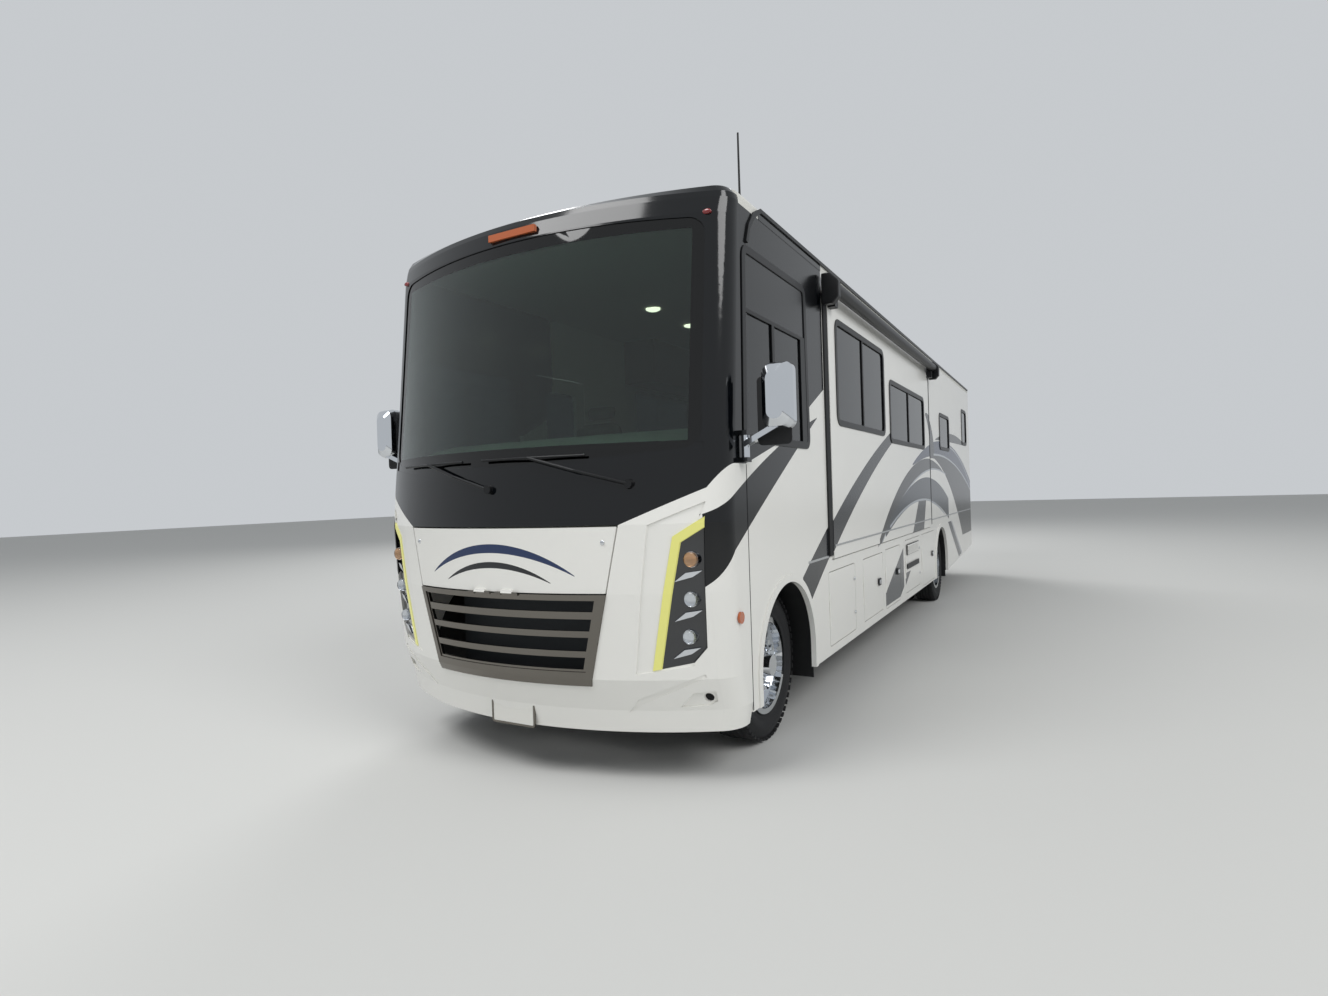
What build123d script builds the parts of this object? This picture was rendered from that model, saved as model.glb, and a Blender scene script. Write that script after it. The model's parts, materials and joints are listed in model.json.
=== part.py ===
from build123d import *
import os
from math import atan2, cos, pi, radians, sin, sqrt

# Motorhome, millimetres: X forward, Y to the driver's side, Z up, origin on the ground below its middle.

# Overall sizes
LENGTH = 10970
HALF_WIDTH = 1270
FRONT_OVERHANG = 1300
WHEELBASE = 6147
REAR_FITTINGS = 120
NOSE_X = LENGTH / 2
FRONT_AXLE_X = NOSE_X - FRONT_OVERHANG
REAR_AXLE_X = FRONT_AXLE_X - WHEELBASE
REAR_X = REAR_FITTINGS - LENGTH / 2
SEAM_X = FRONT_AXLE_X + 620

# Heights
SKIRT_BOTTOM = 360
TAIL_BOTTOM = 500
SKIRT_TOP = 1050
FLOOR_BOTTOM = 1020
FLOOR_TOP = 1090
FLOOR_NOSE_HALF = HALF_WIDTH - 150
WALL_TOP = 3180
ROOF_EDGE = 80
ROOF_CROWN = 25
ROOF_EDGE_RADIUS = 40

# Panel thicknesses and the clearances between pieces
WALL = 50
SKIRT_WALL = 25
CAP_WALL = 30
GLASS = 8
GLASS_RECESS = 6
FIT = 0.3
DOOR_GAP = 6
OVERRUN = 60

# Wheels: tyres and rims are rings of flat facets, so that all the tyres stay under 6,000 triangles
FACETS = 48
TYRE_RADIUS = 470
TYRE_WIDTH = 245
BEAD_RADIUS = 286
RIM_FLANGE_RADIUS = 306
RIM_FLANGE = 10
RIM_WALL = 14
BEAD_INSET = 23
RIM_INSET = 22
DISC_HALF = 12
FRONT_TRACK_HALF = 1000
FRONT_DISC_OUT = 50
TWIN_OUTER_Y = 1075
TWIN_SPACING = 320
TWIN_DISC_OUT = 60
DRUM_RADIUS = 150
AXLE_Z = TYRE_RADIUS
# Hub from the disc outwards: radius, distance out from the disc's middle
HUB = [(115, 12), (105, 34), (80, 44), (66, 100)]
HUB_HOLE = 12
HUB_CAP_RADIUS = 30
NUTS = 10
NUT_CIRCLE = 143
NUT_RADIUS = 18
NUT_HEIGHT = 48
HAND_HOLE_CIRCLE = 212
HAND_HOLE_RADIUS = 24
SPINDLE_RADIUS = 19.9
SPINDLE_BORE = 20
AXLE_TUBE_RADIUS = 45
AXLE_BORE = 46

# Wheel arches and their liners
ARCH_RADIUS = 490
ARCH_TOP = 1005
LIP_WIDTH = 50
LIP_PROUD = 10
LINER = 5
LINER_DEPTH = 380
LINER_LIP = 4
STEER_ROOM = 55
FLAP_THICK = 8
FLAP_BOTTOM = 270
FLAP_TOP = 520

# Chassis
RAIL_Y = 432
RAIL_DEPTH = 254
RAIL_FLANGE = 76
RAIL_GAUGE = 8
RAIL_TOP = 854
RAIL_BOTTOM = RAIL_TOP - RAIL_DEPTH
# Cross-members and body bearers, counted from the front axle and, behind the rear axle, from the rear wall
CROSS_MEMBERS = [FRONT_AXLE_X + ahead for ahead in (860, -300, -1500, -2900, -4300, -5500)]
CROSS_MEMBERS += [REAR_X + ahead for ahead in (2650, 1350, 100)]
BEARERS = [FRONT_AXLE_X + ahead for ahead in (-700, -1500, -2600, -3700, -4800)]
BEARERS += [REAR_X + ahead for ahead in (2350, 1350, 350)]
BEARER_HALF = RAIL_Y + 128
MEMBER_HALF = 30

# Leaf springs: X of the middle, half length
SPRINGS = [(FRONT_AXLE_X, 700), (REAR_AXLE_X, 760)]
SPRING_WIDTH = 76
SPRING_THICK = 44
SPRING_RISE = 70
SPRING_Y = RAIL_Y + 8 + SPRING_WIDTH / 2
SPRING_SEAT = AXLE_Z + 62

# Hitch receiver below the rear of the frame
RECEIVER_X = -LENGTH / 2
RECEIVER_Z = 460
RECEIVER_OUT = 31.75
RECEIVER_IN = 25.8
RECEIVER_DEPTH = 250
HITCH_BAR = (260, 320)
PIN_RADIUS = 8.2
PIN_SETBACK = 60

# Front axle, steering knuckles and tie rod
BEAM_TOP = 455
BEAM_END_Y = 740
KINGPIN_Y = 860
KINGPIN_RADIUS = 18
BOSS_RADIUS = 42
RUNNING_FIT = 0.05
ARM_BACK = 200
ARM_IN = 60
ARM_Z = 385
TIE_Z = ARM_Z - 28
EYE_BOTTOM = ARM_Z - 6

# Rear axle and drive shaft
DIFFERENTIAL_RADIUS = 190
HOUSING_RADIUS = 62
PINION_REACH = 330

# Engine under its cover in the cab, and what hangs below the floor, counted from the front axle
ENGINE_FRONT = 740
ENGINE_REAR = 0
ENGINE_HALF_WIDTH = 300
ENGINE_BOTTOM = 560
ENGINE_TOP = 1330
ENGINE_MOUNTS = [600, 150]
COVER_GAP = 40
COVER_WALL = 20
GEARBOX_REAR = -1400
RADIATOR = (900, 990)
TANK = (853, 2253)

# Slide-out room, on the driver's side
SLIDE_FRONT = FRONT_AXLE_X - 970
SLIDE_REAR = FRONT_AXLE_X - 5300
SLIDE_TOP = 3000
SLIDE_BOTTOM = SKIRT_TOP + DOOR_GAP + 4
SLIDE_PROUD = 15
SLIDE_DEPTH = 640
SLIDE_BOX_INSET = 60
SLIDE_BOX_WALL = 40
RUNNER_INSET = 700
RUNNER_WIDTH = 60

# Rollers of the slide-out's cover and of the patio awning
ROLLER_Z = 3065
ROLLER_RADIUS = 48
ROLLER_CAP_RADIUS = 60
ROLLER_CAP = 50
ROLLER_OVERHANG = 60
AWNING_FRONT = FRONT_AXLE_X - 1700
AWNING_REAR = FRONT_AXLE_X - 5600
AWNING_Z = 3010
AWNING_RADIUS = 55
AWNING_OUT = 62
AWNING_ARM = 40
AWNING_ARM_FOOT = 1500

# Front cap sections: height, setback of the centre line behind the nose, front radius, corner radius, side inset
CAP_SECTIONS = [
    (295, 165, 2200, 180, 25),
    (420, 135, 2200, 180, 0),
    (600, 65, 2200, 180, 0),
    (1063, 17, 2200, 180, 0),
    (1430, 0, 2200, 180, 0),
    (1700, 36, 2250, 175, 0),
    (1840, 62, 2300, 170, 0),
    (3100, 268, 2900, 150, 0),
    (3190, 292, 2900, 130, 0),
    (3225, 308, 2950, 120, 8),
    (3260, 375, 3600, 100, 40),
]

# Outlines across the front, as half-width and height
MASK_EDGE = [(766, 1430), (1178, 1613), (1300, 1780)]
MASK_LEDGE = [(1160, 1855), (1160, 1800), (600, 1728), (0, 1708)]
OPENING_TOP = (766, 1430)
OPENING_WAIST = (686, 1063)
OPENING_FOOT = (560, 560)
CHEEK = [(1174, 1541), (905, 1425), (800, 632), (1085, 676), (1000, 1000)]
BUMPER_CREASE = [(720, 408), (785, 486), (1130, 628), (1138, 612), (805, 462)]
FOG_RECESS = [(985, 440), (1058, 520), (1165, 530), (1165, 470), (1120, 446)]
FOG_HOLE = (1122, 492, 24)
LEDGE_DEPTH = 5
CHEEK_DEPTH = 8
CREASE_DEPTH = 5
FOG_DEPTH = 12

# Windshield
GLASS_BOTTOM_CENTRE = 1770
GLASS_BOTTOM_CORNER = 1835
GLASS_TOP_CENTRE = 3094
GLASS_TOP_CORNER = 3075
GLASS_HALF_WIDTH = 1150
GLASS_CORNER = 90

# Front panel over the engine, hinged at its foot
HOOD_WALL = 25
HOOD_TOP_GAP = 8
HOOD_FLANGE = 8
HOOD_PIVOT_X = NOSE_X - 8
HOOD_PIVOT_Z = 1067.5
# Barrels of the hood's hinge on each side: inner end, outer end, 1 up to the hood or -1 down to the grille
HOOD_BARRELS = [(20, 59.7, -1), (60, 140, 1), (140.3, 180, -1)]
HOOD_LEAF = (16, 2, 14)

# Headlamps: outline as half-width and height, round lamps as half-width, height, radius
LAMP_OUTLINE = [(1172, 1465), (1020, 1362), (884, 650), (1085, 690), (1150, 770)]
LAMP_RECESS = 18
LAMP_DEPTH = 35
ROUND_LAMPS = [(1100, 1240, 42), (1090, 1030, 40), (1070, 830, 38)]
LENS_PROUD = 12
# Chromed fin below each round lamp, from the lamp's middle
LAMP_FIN = [(-82, -116), (-28, -70), (48, -60), (4, -92)]
FIN_PROUD = 13
# Running light along the lamp's top and inner edge
STRIP_WIDTH = 32
STRIP_PROUD = 15

# Grille slots: bottom, top
GRILLE_SLOTS = [(655, 720), (755, 830), (865, 930), (970, 1030)]
GRILLE_BORDER = 58
GRILLE_RIM = 40
GRILLE_PROUD = 8
GRILLE_STEP = 6
GRILLE_WALL = 26

# Marker lamps: the bar over the windshield as half-width, bottom, top, and the side lamp as X, height, radius
MARKER_BAR = (175, 3125, 3165)
SIDE_MARKER = (FRONT_AXLE_X + 770, 910, 32)

# Windows: front, rear, bottom, top, with front and rear as X
CAB_WINDOW = (FRONT_AXLE_X + 560, FRONT_AXLE_X - 450, 1880, 2600)
LEFT_WINDOWS = [
    CAB_WINDOW,
    (FRONT_AXLE_X - 6250, FRONT_AXLE_X - 7100, 2100, 2550),
    (REAR_X + 950, REAR_X + 400, 2270, 2800),
]
RIGHT_WINDOWS = [
    CAB_WINDOW,
    (FRONT_AXLE_X - 2300, FRONT_AXLE_X - 3600, 2050, 2700),
    (REAR_X + 3650, REAR_X + 2650, 2100, 2700),
    (REAR_X + 1850, REAR_X + 1300, 2300, 2800),
]
SLIDE_WINDOWS = [
    (FRONT_AXLE_X - 1180, FRONT_AXLE_X - 2770, 2100, 2860),
    (FRONT_AXLE_X - 3050, FRONT_AXLE_X - 4920, 2050, 2620),
]
WINDOW_CORNER = 60

# Storage bay doors: front, rear, bottom, top, with front and rear as X
LEFT_BAYS = [
    (FRONT_AXLE_X - 860, FRONT_AXLE_X - 1600, 420, 970),
    (FRONT_AXLE_X - 1860, FRONT_AXLE_X - 2600, 430, 970),
    (FRONT_AXLE_X - 2700, FRONT_AXLE_X - 3400, 410, 980),
    (FRONT_AXLE_X - 3650, FRONT_AXLE_X - 4540, 430, 1000),
    (FRONT_AXLE_X - 4620, FRONT_AXLE_X - 5560, 380, 1000),
]
RIGHT_BAYS = [
    (FRONT_AXLE_X - 1700, FRONT_AXLE_X - 2900, 420, 980),
    (FRONT_AXLE_X - 3100, FRONT_AXLE_X - 4300, 420, 980),
    (FRONT_AXLE_X - 4450, FRONT_AXLE_X - 5450, 420, 980),
]
BAY_CORNER = 30
BAY_DEPTH = 600
BAY_WALL = 6
BAY_FLOOR_DROP = 12

# Seams between the skirt's panels, as X
LEFT_SEAMS = [FRONT_AXLE_X - behind for behind in (700, 1730, 2650, 3525, 4580)]
RIGHT_SEAMS = [FRONT_AXLE_X - behind for behind in (600, 1530, 3000, 4375)]

# Hinges at the front edge of each side door: the axis stands behind the opening's edge and proud of the side
HINGE_BACK = 3
HINGE_OUT = 4
HINGE_RADIUS = 4.5
HINGE_LEAF = 25
LEAF_SINK = 0.5
LEAF_PROUD = 2
# Barrels of one hinge: bottom, top from its middle, 1 on the body or -1 on the door
BARRELS = [(-120, -60.3, 1), (-60, 60, -1), (60.3, 120, 1)]
ENTRY_HINGES = [1400, 2400]

# Entry door on the passenger's side, front, rear, bottom, top with front and rear as X, and its step
ENTRY = (FRONT_AXLE_X - 650, FRONT_AXLE_X - 1360, 640, 2660)
ENTRY_THICK = 45
ENTRY_WINDOW_MARGIN = 130
ENTRY_WINDOW_BOTTOM = 1900
STEP_HEIGHT = 760
STEP_DEPTH = 420
STEP_WALL = 20

# Steering wheel, dashboard and seats, counted from the front axle
WHEEL_AHEAD = 170
WHEEL_HEIGHT = 1810
WHEEL_TILT = 35
RIM_CIRCLE = 200
RIM_RADIUS = 14
SHAFT_RADIUS = 20
SHAFT_LENGTH = 250
COLUMN_RADIUS = 55
DASH_TOP = WHEEL_HEIGHT - 25
DASH_BOTTOM = WHEEL_HEIGHT - 360
DASH_REAR = 330
DASH_INSET = 90
DASH_HALF = HALF_WIDTH - 140
FIREWALL = (780, 800)
# Hood over the instruments: distance ahead of the dashboard's rear, height over its top
BINNACLE = [(0, -5), (12, 52), (90, 80), (260, 18), (260, -5)]
BINNACLE_HALF = 235
SEAT_FRONT = -80
SEAT_LENGTH = 520
SEAT_Y = 620
SEAT_WIDTH = 540
SEAT_TOP = 1560
SEAT_THICK = 150
SEAT_BACK_TOP = 2230
SEAT_BACK_THICK = 130
SEAT_RECLINE = 12
PEDESTAL_HALF = 150

# Cabinets: galley and cupboards on the passenger's side, partition of the bedroom
GALLEY = (FRONT_AXLE_X - 2100, FRONT_AXLE_X - 4300)
GALLEY_INNER_Y = -640
GALLEY_TOP = 2000
CUPBOARD_INNER_Y = -860
CUPBOARD_BOTTOM = 2740
PARTITION = (FRONT_AXLE_X - 5560, FRONT_AXLE_X - 5600)
DOORWAY_HALF = 330
DOORWAY_TOP = 3050

# Roof units: X of the middle, then rounded sections as length, width, corner radius, height over the crown
AIR_CONDITIONER = [(950, 720, 110, -60), (930, 700, 110, 60), (860, 630, 100, 270), (600, 400, 90, 325)]
VENT = [(420, 420, 40, -60), (420, 420, 40, 40), (360, 360, 40, 100)]
ROOF_UNITS = [
    (FRONT_AXLE_X - 1700, AIR_CONDITIONER), (REAR_X + 2850, AIR_CONDITIONER),
    (FRONT_AXLE_X - 3300, VENT), (REAR_X + 1050, VENT),
]
ANTENNA = (FRONT_AXLE_X + 380, 1180)
ANTENNA_BASE_RADIUS = 16
ANTENNA_RADIUS = 4
ANTENNA_HEIGHT = 430

# Mirror on the driver's side: middle of the head, its sections from the glass forward, pivot on the cap
MIRROR = (FRONT_AXLE_X + 720, 1500, 2085)
MIRROR_DEPTH = 110
# Distance ahead of the glass, width, height, corner radius
MIRROR_SECTIONS = [(0, 170, 350, 45), (45, 170, 350, 45), (85, 150, 325, 50), (110, 90, 250, 40)]
MIRROR_ARM = (46, 30)
PIVOT_X = FRONT_AXLE_X + 690
PIVOT_Y = HALF_WIDTH + 30
PIVOT_Z = 1830
PIVOT_LENGTH = 120
PIVOT_RADIUS = 22
MIRROR_LUG = 26

# Wipers, resting on the mask below the glass: pivot and tip as half-width and height
WIPERS = [((820, 1645), (260, 1805)), ((-12, 1640), (-560, 1805))]
WIPER_BLADE = 660
WIPER_LIFT = 36
WIPER_BOSS_RADIUS = 24
WIPER_ARM_RADIUS = 9
BLADE_RADIUS = 7
BLADE_LIFT = 24

# Rear: bumper, ladder and tail lamps
BUMPER_TOP = TAIL_BOTTOM + 240
BUMPER_PROUD = 60
LADDER_X = REAR_X - REAR_FITTINGS + 16
LADDER_Y = -620
LADDER_HALF = 190
LADDER_FOOT = 1100
LADDER_TOP = 3200
LADDER_RADIUS = 16
RUNG_RADIUS = 12
RUNGS = 7
RUNG_STEP = 290
LADDER_FEET = [1250, 2150, 3050]
TAIL_LAMP = (1060, 1220, 1150, 1700)
TAIL_LAMP_PROUD = 22

os.makedirs("parts", exist_ok=True)


def station(ahead):
    """X of a place given by its distance ahead of the front axle."""
    return FRONT_AXLE_X + ahead


def block(x0, x1, y0, y1, z0, z1):
    """Box between two corners."""
    size = (abs(x1 - x0), abs(y1 - y0), abs(z1 - z0))
    return Pos((x0 + x1) / 2, (y0 + y1) / 2, (z0 + z1) / 2) * Box(*size)


def tube_y(x, y0, y1, z, radius):
    """Round bar along Y."""
    return Pos(x, (y0 + y1) / 2, z) * Rot(90, 0, 0) * Cylinder(radius, abs(y1 - y0))


def tube_x(x0, x1, y, z, radius):
    """Round bar along X."""
    return Pos((x0 + x1) / 2, y, z) * Rot(0, 90, 0) * Cylinder(radius, abs(x1 - x0))


def bar(start, end, width, height):
    """Flat bar from one point to another, its width level."""
    a, b = Vector(*start), Vector(*end)
    run = b - a
    level = Vector(0, 0, 1).cross(run)
    plane = Plane(origin=(a + b) / 2, x_dir=level.normalized(), z_dir=run.normalized())
    return plane * Box(width, height, run.length)


def rod(start, end, radius):
    """Round bar from one point to another."""
    a, b = Vector(*start), Vector(*end)
    run = b - a
    return Plane(origin=(a + b) / 2, z_dir=run.normalized()) * Cylinder(radius, run.length)


def closed(points):
    """Flat face inside a closed row of points given in 3-D."""
    return Face(Wire(Polyline(*points, close=True).edges()))


def across(outline, x0=None, x1=None):
    """Prism along X whose outline is given as (y, z) points."""
    x0 = SEAM_X - 1 if x0 is None else x0
    x1 = NOSE_X + 200 if x1 is None else x1
    face = closed([(x0, y, z) for y, z in outline])
    return extrude(face, amount=x1 - x0, dir=(1, 0, 0))


def both_sides(half):
    """Symmetric outline from its (half-width, height) points."""
    return half + [(-y, z) for y, z in reversed(half) if y]


def pair(outline):
    """The two prisms along X of an outline on each side of the front."""
    return [across([(side * y, z) for y, z in outline]) for side in (1, -1)]


def mirrored(part):
    """The same piece on the other side."""
    return mirror(part, about=Plane.XZ)


def side_plate(x0, x1, z0, z1, y0, y1, corner):
    """Plate with rounded corners, upright along X, between two Y values."""
    plane = Plane(origin=((x0 + x1) / 2, min(y0, y1), (z0 + z1) / 2), x_dir=(1, 0, 0), z_dir=(0, 1, 0))
    sketch = plane * RectangleRounded(abs(x1 - x0), z1 - z0, corner)
    return extrude(sketch, amount=abs(y1 - y0), dir=(0, 1, 0))


def facet_ring(profile):
    """Ring of flat facets about the Y axis, from a closed row of (radius, offset) points."""
    turns = [(cos(2 * pi * n / FACETS), sin(2 * pi * n / FACETS)) for n in range(FACETS)]
    loops = [[(radius * c, offset, radius * s) for radius, offset in profile] for c, s in turns]
    faces = []
    for near, far in zip(loops, loops[1:] + loops[:1]):
        for i in range(len(profile)):
            faces.append(closed([near[i - 1], near[i], far[i], far[i - 1]]))
    return Solid(Shell(faces))


def cap_wire(height, setback, front_radius, corner_radius, side_inset, inset, back_x):
    """One level outline of the front cap: sides, corner arcs and front arc."""
    tip = NOSE_X - setback - inset
    half = HALF_WIDTH - side_inset - inset
    big = front_radius - inset
    small = corner_radius - inset
    middle = tip - big
    corner_x = middle + sqrt((big - small) ** 2 - (half - small) ** 2)
    corner_y = half - small
    angle = atan2(corner_y, corner_x - middle)
    tangent = (middle + big * cos(angle), big * sin(angle))
    bend = (angle + pi / 2) / 2
    knee = (corner_x + small * cos(bend), corner_y + small * sin(bend))
    left = [
        Line((back_x, half, height), (corner_x, half, height)),
        ThreePointArc((corner_x, half, height), (*knee, height), (*tangent, height)),
    ]
    right = [
        ThreePointArc((tangent[0], -tangent[1], height), (knee[0], -knee[1], height), (corner_x, -half, height)),
        Line((corner_x, -half, height), (back_x, -half, height)),
    ]
    front = ThreePointArc((*tangent, height), (tip, 0, height), (tangent[0], -tangent[1], height))
    back = Line((back_x, -half, height), (back_x, half, height))
    return Wire([edge for piece in left + [front] + right + [back] for edge in piece.edges()])


def cap_solid(inset, low=0, high=WALL_TOP + ROOF_EDGE, overrun=0):
    """Front cap between two heights, all its sections moved in by one distance, overrunning its back and foot."""
    rows = [row for row in CAP_SECTIONS[:-1] if low <= row[0] <= high]
    top = CAP_SECTIONS[-1]
    if high >= top[0]:
        ceiling = top[0] - max(inset, 0)
        rows = [row for row in rows if row[0] < ceiling] + [(ceiling, *top[1:])]
    rows[0] = (rows[0][0] - overrun, *rows[0][1:])
    return Solid.make_loft([cap_wire(*row, inset, SEAM_X - overrun) for row in rows], True)


def cap_layer(outer, inner, low=0, high=WALL_TOP + ROOF_EDGE):
    """Skin of the front cap between two depths, open at its back and foot."""
    return cap_solid(outer, low, high) - cap_solid(inner, low, high, OVERRUN)


def cap_setback(height):
    """Setback and radius of the cap's front arc at a height, between sections."""
    for lower, upper in zip(CAP_SECTIONS, CAP_SECTIONS[1:]):
        if lower[0] <= height <= upper[0]:
            share = (height - lower[0]) / (upper[0] - lower[0])
            return [a + (b - a) * share for a, b in zip(lower[1:3], upper[1:3])]


def cap_x(y, height):
    """X of the cap's outer face at a place on its front arc."""
    setback, radius = cap_setback(height)
    return NOSE_X - setback - radius + sqrt(radius ** 2 - y ** 2)


def opening_half(height):
    """Half-width of the opening for hood and grille at a height."""
    low, high = (OPENING_FOOT, OPENING_WAIST) if height < OPENING_WAIST[1] else (OPENING_WAIST, OPENING_TOP)
    share = (height - low[1]) / (high[1] - low[1])
    return low[0] + (high[0] - low[0]) * share


def opening_outline(shrink, bottom, top):
    """Opening for hood and grille between two heights, drawn in by a clearance."""
    heights = [bottom, top]
    if bottom < OPENING_WAIST[1] < top:
        heights = [bottom, OPENING_WAIST[1], top]
    return both_sides([(opening_half(height) - shrink, height) for height in heights])


def windshield_prism(shrink):
    """Prism of the windshield's outline, its long edges slightly arched."""
    half = GLASS_HALF_WIDTH - shrink
    low, low_mid = GLASS_BOTTOM_CORNER + shrink, GLASS_BOTTOM_CENTRE + shrink
    high, high_mid = GLASS_TOP_CORNER - shrink, GLASS_TOP_CENTRE - shrink
    x = SEAM_X
    edges = [
        ThreePointArc((x, -half, low), (x, 0, low_mid), (x, half, low)),
        Line((x, half, low), (x, half, high)),
        ThreePointArc((x, half, high), (x, 0, high_mid), (x, -half, high)),
        Line((x, -half, high), (x, -half, low)),
    ]
    face = Face(Wire([edge for piece in edges for edge in piece.edges()]))
    face = face.fillet_2d(GLASS_CORNER - shrink, face.vertices())
    return extrude(face, amount=NOSE_X - SEAM_X + 100, dir=(1, 0, 0))


def arch_face(x, y, radius, bottom, top):
    """Arch opening seen from the side: a half circle on straight legs."""
    centre = top - radius
    edges = [
        Line((x - radius, y, bottom), (x - radius, y, centre)),
        ThreePointArc((x - radius, y, centre), (x, y, top), (x + radius, y, centre)),
        Line((x + radius, y, centre), (x + radius, y, bottom)),
        Line((x + radius, y, bottom), (x - radius, y, bottom)),
    ]
    return Face(Wire([edge for piece in edges for edge in piece.edges()]))


def arch_prism(x, y0, y1, grow, bottom=SKIRT_BOTTOM):
    """Solid in the shape of an arch opening, made larger by a margin."""
    face = arch_face(x, y0, ARCH_RADIUS + grow, bottom, ARCH_TOP + grow)
    return extrude(face, amount=y1 - y0, dir=(0, 1, 0))


def liner(x, room):
    """Wheel arch liner of the driver's side, with a flange behind the skirt and room for the wheel to steer."""
    y1 = HALF_WIDTH - SKIRT_WALL
    y0 = y1 - LINER_DEPTH
    radius = ARCH_RADIUS + LINER_LIP + room
    top = ARCH_TOP + LINER_LIP
    outer = extrude(arch_face(x, y0, radius + LINER, SKIRT_BOTTOM, top + LINER), amount=LINER_DEPTH, dir=(0, 1, 0))
    inner = extrude(arch_face(x, y0 - 1, radius, SKIRT_BOTTOM - 1, top), amount=LINER_DEPTH + 1 - LINER, dir=(0, 1, 0))
    shell = outer - inner - arch_prism(x, y0 - 1, y1 + 1, 0, SKIRT_BOTTOM - 1)
    back = x - radius - LINER
    return shell + block(back - FLAP_THICK, back + 1, y0 + 20, y1 - 10, FLAP_BOTTOM, FLAP_TOP)


def hinge_half(front, middle, on_body):
    """Barrels and leaves of one hinge of the driver's side, those on the body or the one on the door."""
    x = front - HINGE_BACK
    side = 1 if on_body else -1
    half = Part()
    for bottom, top, carrier in BARRELS:
        if carrier == side:
            half += Pos(x, HALF_WIDTH + HINGE_OUT, middle + (bottom + top) / 2) * Cylinder(HINGE_RADIUS, top - bottom)
            leaf = (x, x + side * HINGE_LEAF, HALF_WIDTH - LEAF_SINK, HALF_WIDTH + LEAF_PROUD)
            half += block(*leaf, middle + bottom, middle + top)
    return half


def hood_hinge(carrier):
    """Barrels and leaves of the hood's hinge, those on the hood or those on the grille."""
    back, ahead, reach = HOOD_LEAF
    half = Part()
    for side in (1, -1):
        for inner, outer, row_carrier in HOOD_BARRELS:
            if row_carrier == carrier:
                y0, y1 = sorted((side * inner, side * outer))
                z0, z1 = sorted((HOOD_PIVOT_Z, HOOD_PIVOT_Z + carrier * reach))
                half += tube_y(HOOD_PIVOT_X, y0, y1, HOOD_PIVOT_Z, HINGE_RADIUS)
                half += block(HOOD_PIVOT_X - back, HOOD_PIVOT_X + ahead, y0, y1, z0, z1)
    return half


def skirt(bays, seams, entry):
    """Lower side panels of the driver's side, with their door openings, arches, hinges and seams."""
    inner = HALF_WIDTH - SKIRT_WALL
    lowest = [
        (SEAM_X, inner, SKIRT_BOTTOM),
        (REAR_AXLE_X - ARCH_RADIUS, inner, SKIRT_BOTTOM),
        (REAR_X + WALL, inner, TAIL_BOTTOM),
        (REAR_X + WALL, inner, SKIRT_TOP),
        (SEAM_X, inner, SKIRT_TOP),
    ]
    panel = extrude(closed(lowest), amount=SKIRT_WALL, dir=(0, 1, 0))
    for x in (FRONT_AXLE_X, REAR_AXLE_X):
        lip = arch_prism(x, HALF_WIDTH - 1, HALF_WIDTH + LIP_PROUD, LIP_WIDTH)
        panel += lip & block(x - 900, x + 900, inner, HALF_WIDTH + LIP_PROUD, SKIRT_BOTTOM, SKIRT_TOP)
        panel -= arch_prism(x, inner - 1, HALF_WIDTH + LIP_PROUD + 1, 0, SKIRT_BOTTOM - 1)
    for front, rear, bottom, top in bays:
        panel -= side_plate(rear, front, bottom, top, inner - 1, HALF_WIDTH + 1, BAY_CORNER)
        panel += hinge_half(front, (bottom + top) / 2, True)
    if entry:
        front, rear, bottom, top = ENTRY
        panel -= block(rear, front, inner - 1, HALF_WIDTH + 1, bottom, SKIRT_TOP + 1)
    for x in seams:
        panel -= block(x, x + FIT, inner - 1, HALF_WIDTH + LIP_PROUD, SKIRT_BOTTOM - 1, SKIRT_TOP + 1)
    return panel


def side_wall(windows):
    """Upper side wall of the driver's side with its windows."""
    wall = block(REAR_X + WALL, SEAM_X, HALF_WIDTH - WALL, HALF_WIDTH, SKIRT_TOP, WALL_TOP)
    for front, rear, bottom, top in windows:
        wall -= side_plate(rear, front, bottom, top, HALF_WIDTH - WALL - 1, HALF_WIDTH + 1, WINDOW_CORNER)
    return wall


def pane(window, outer_y):
    """Window glass on the driver's side, seated in its wall."""
    front, rear, bottom, top = window
    y1 = outer_y - GLASS_RECESS
    return side_plate(rear + FIT, front - FIT, bottom + FIT, top - FIT, y1 - GLASS, y1, WINDOW_CORNER - FIT)


def bay_tray(bay):
    """Open-fronted storage box behind a bay door on the driver's side."""
    front, rear, bottom, top = bay
    y1 = HALF_WIDTH - SKIRT_WALL
    y0 = y1 - BAY_DEPTH
    x0, x1 = rear - BAY_WALL, front + BAY_WALL
    z0 = bottom - BAY_FLOOR_DROP
    shell = block(x0, x1, y0, y1, z0, FLOOR_BOTTOM)
    return shell - block(x0 + BAY_WALL, x1 - BAY_WALL, y0 + BAY_WALL, y1 + 1, z0 + BAY_WALL, top)


def bay_door(bay):
    """Bay door of the driver's side, with running gaps all round and its half of the hinge."""
    front, rear, bottom, top = bay
    door = side_plate(
        rear + DOOR_GAP, front - DOOR_GAP, bottom + DOOR_GAP, top - DOOR_GAP,
        HALF_WIDTH - SKIRT_WALL + 1, HALF_WIDTH, BAY_CORNER - DOOR_GAP,
    )
    return door + hinge_half(front, (bottom + top) / 2, False)


def tyre(y):
    """Tyre round the Y axis of its wheel."""
    half = TYRE_WIDTH / 2
    bead = half - BEAD_INSET
    outer = [
        (BEAD_RADIUS + FIT, bead), (RIM_FLANGE_RADIUS + 3, bead), (TYRE_RADIUS - 90, half),
        (TYRE_RADIUS - 22, half - 22), (TYRE_RADIUS, half - 48),
    ]
    outline = [(radius, y - offset) for radius, offset in outer]
    outline += [(radius, y + offset) for radius, offset in reversed(outer)]
    return facet_ring(outline)


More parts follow.
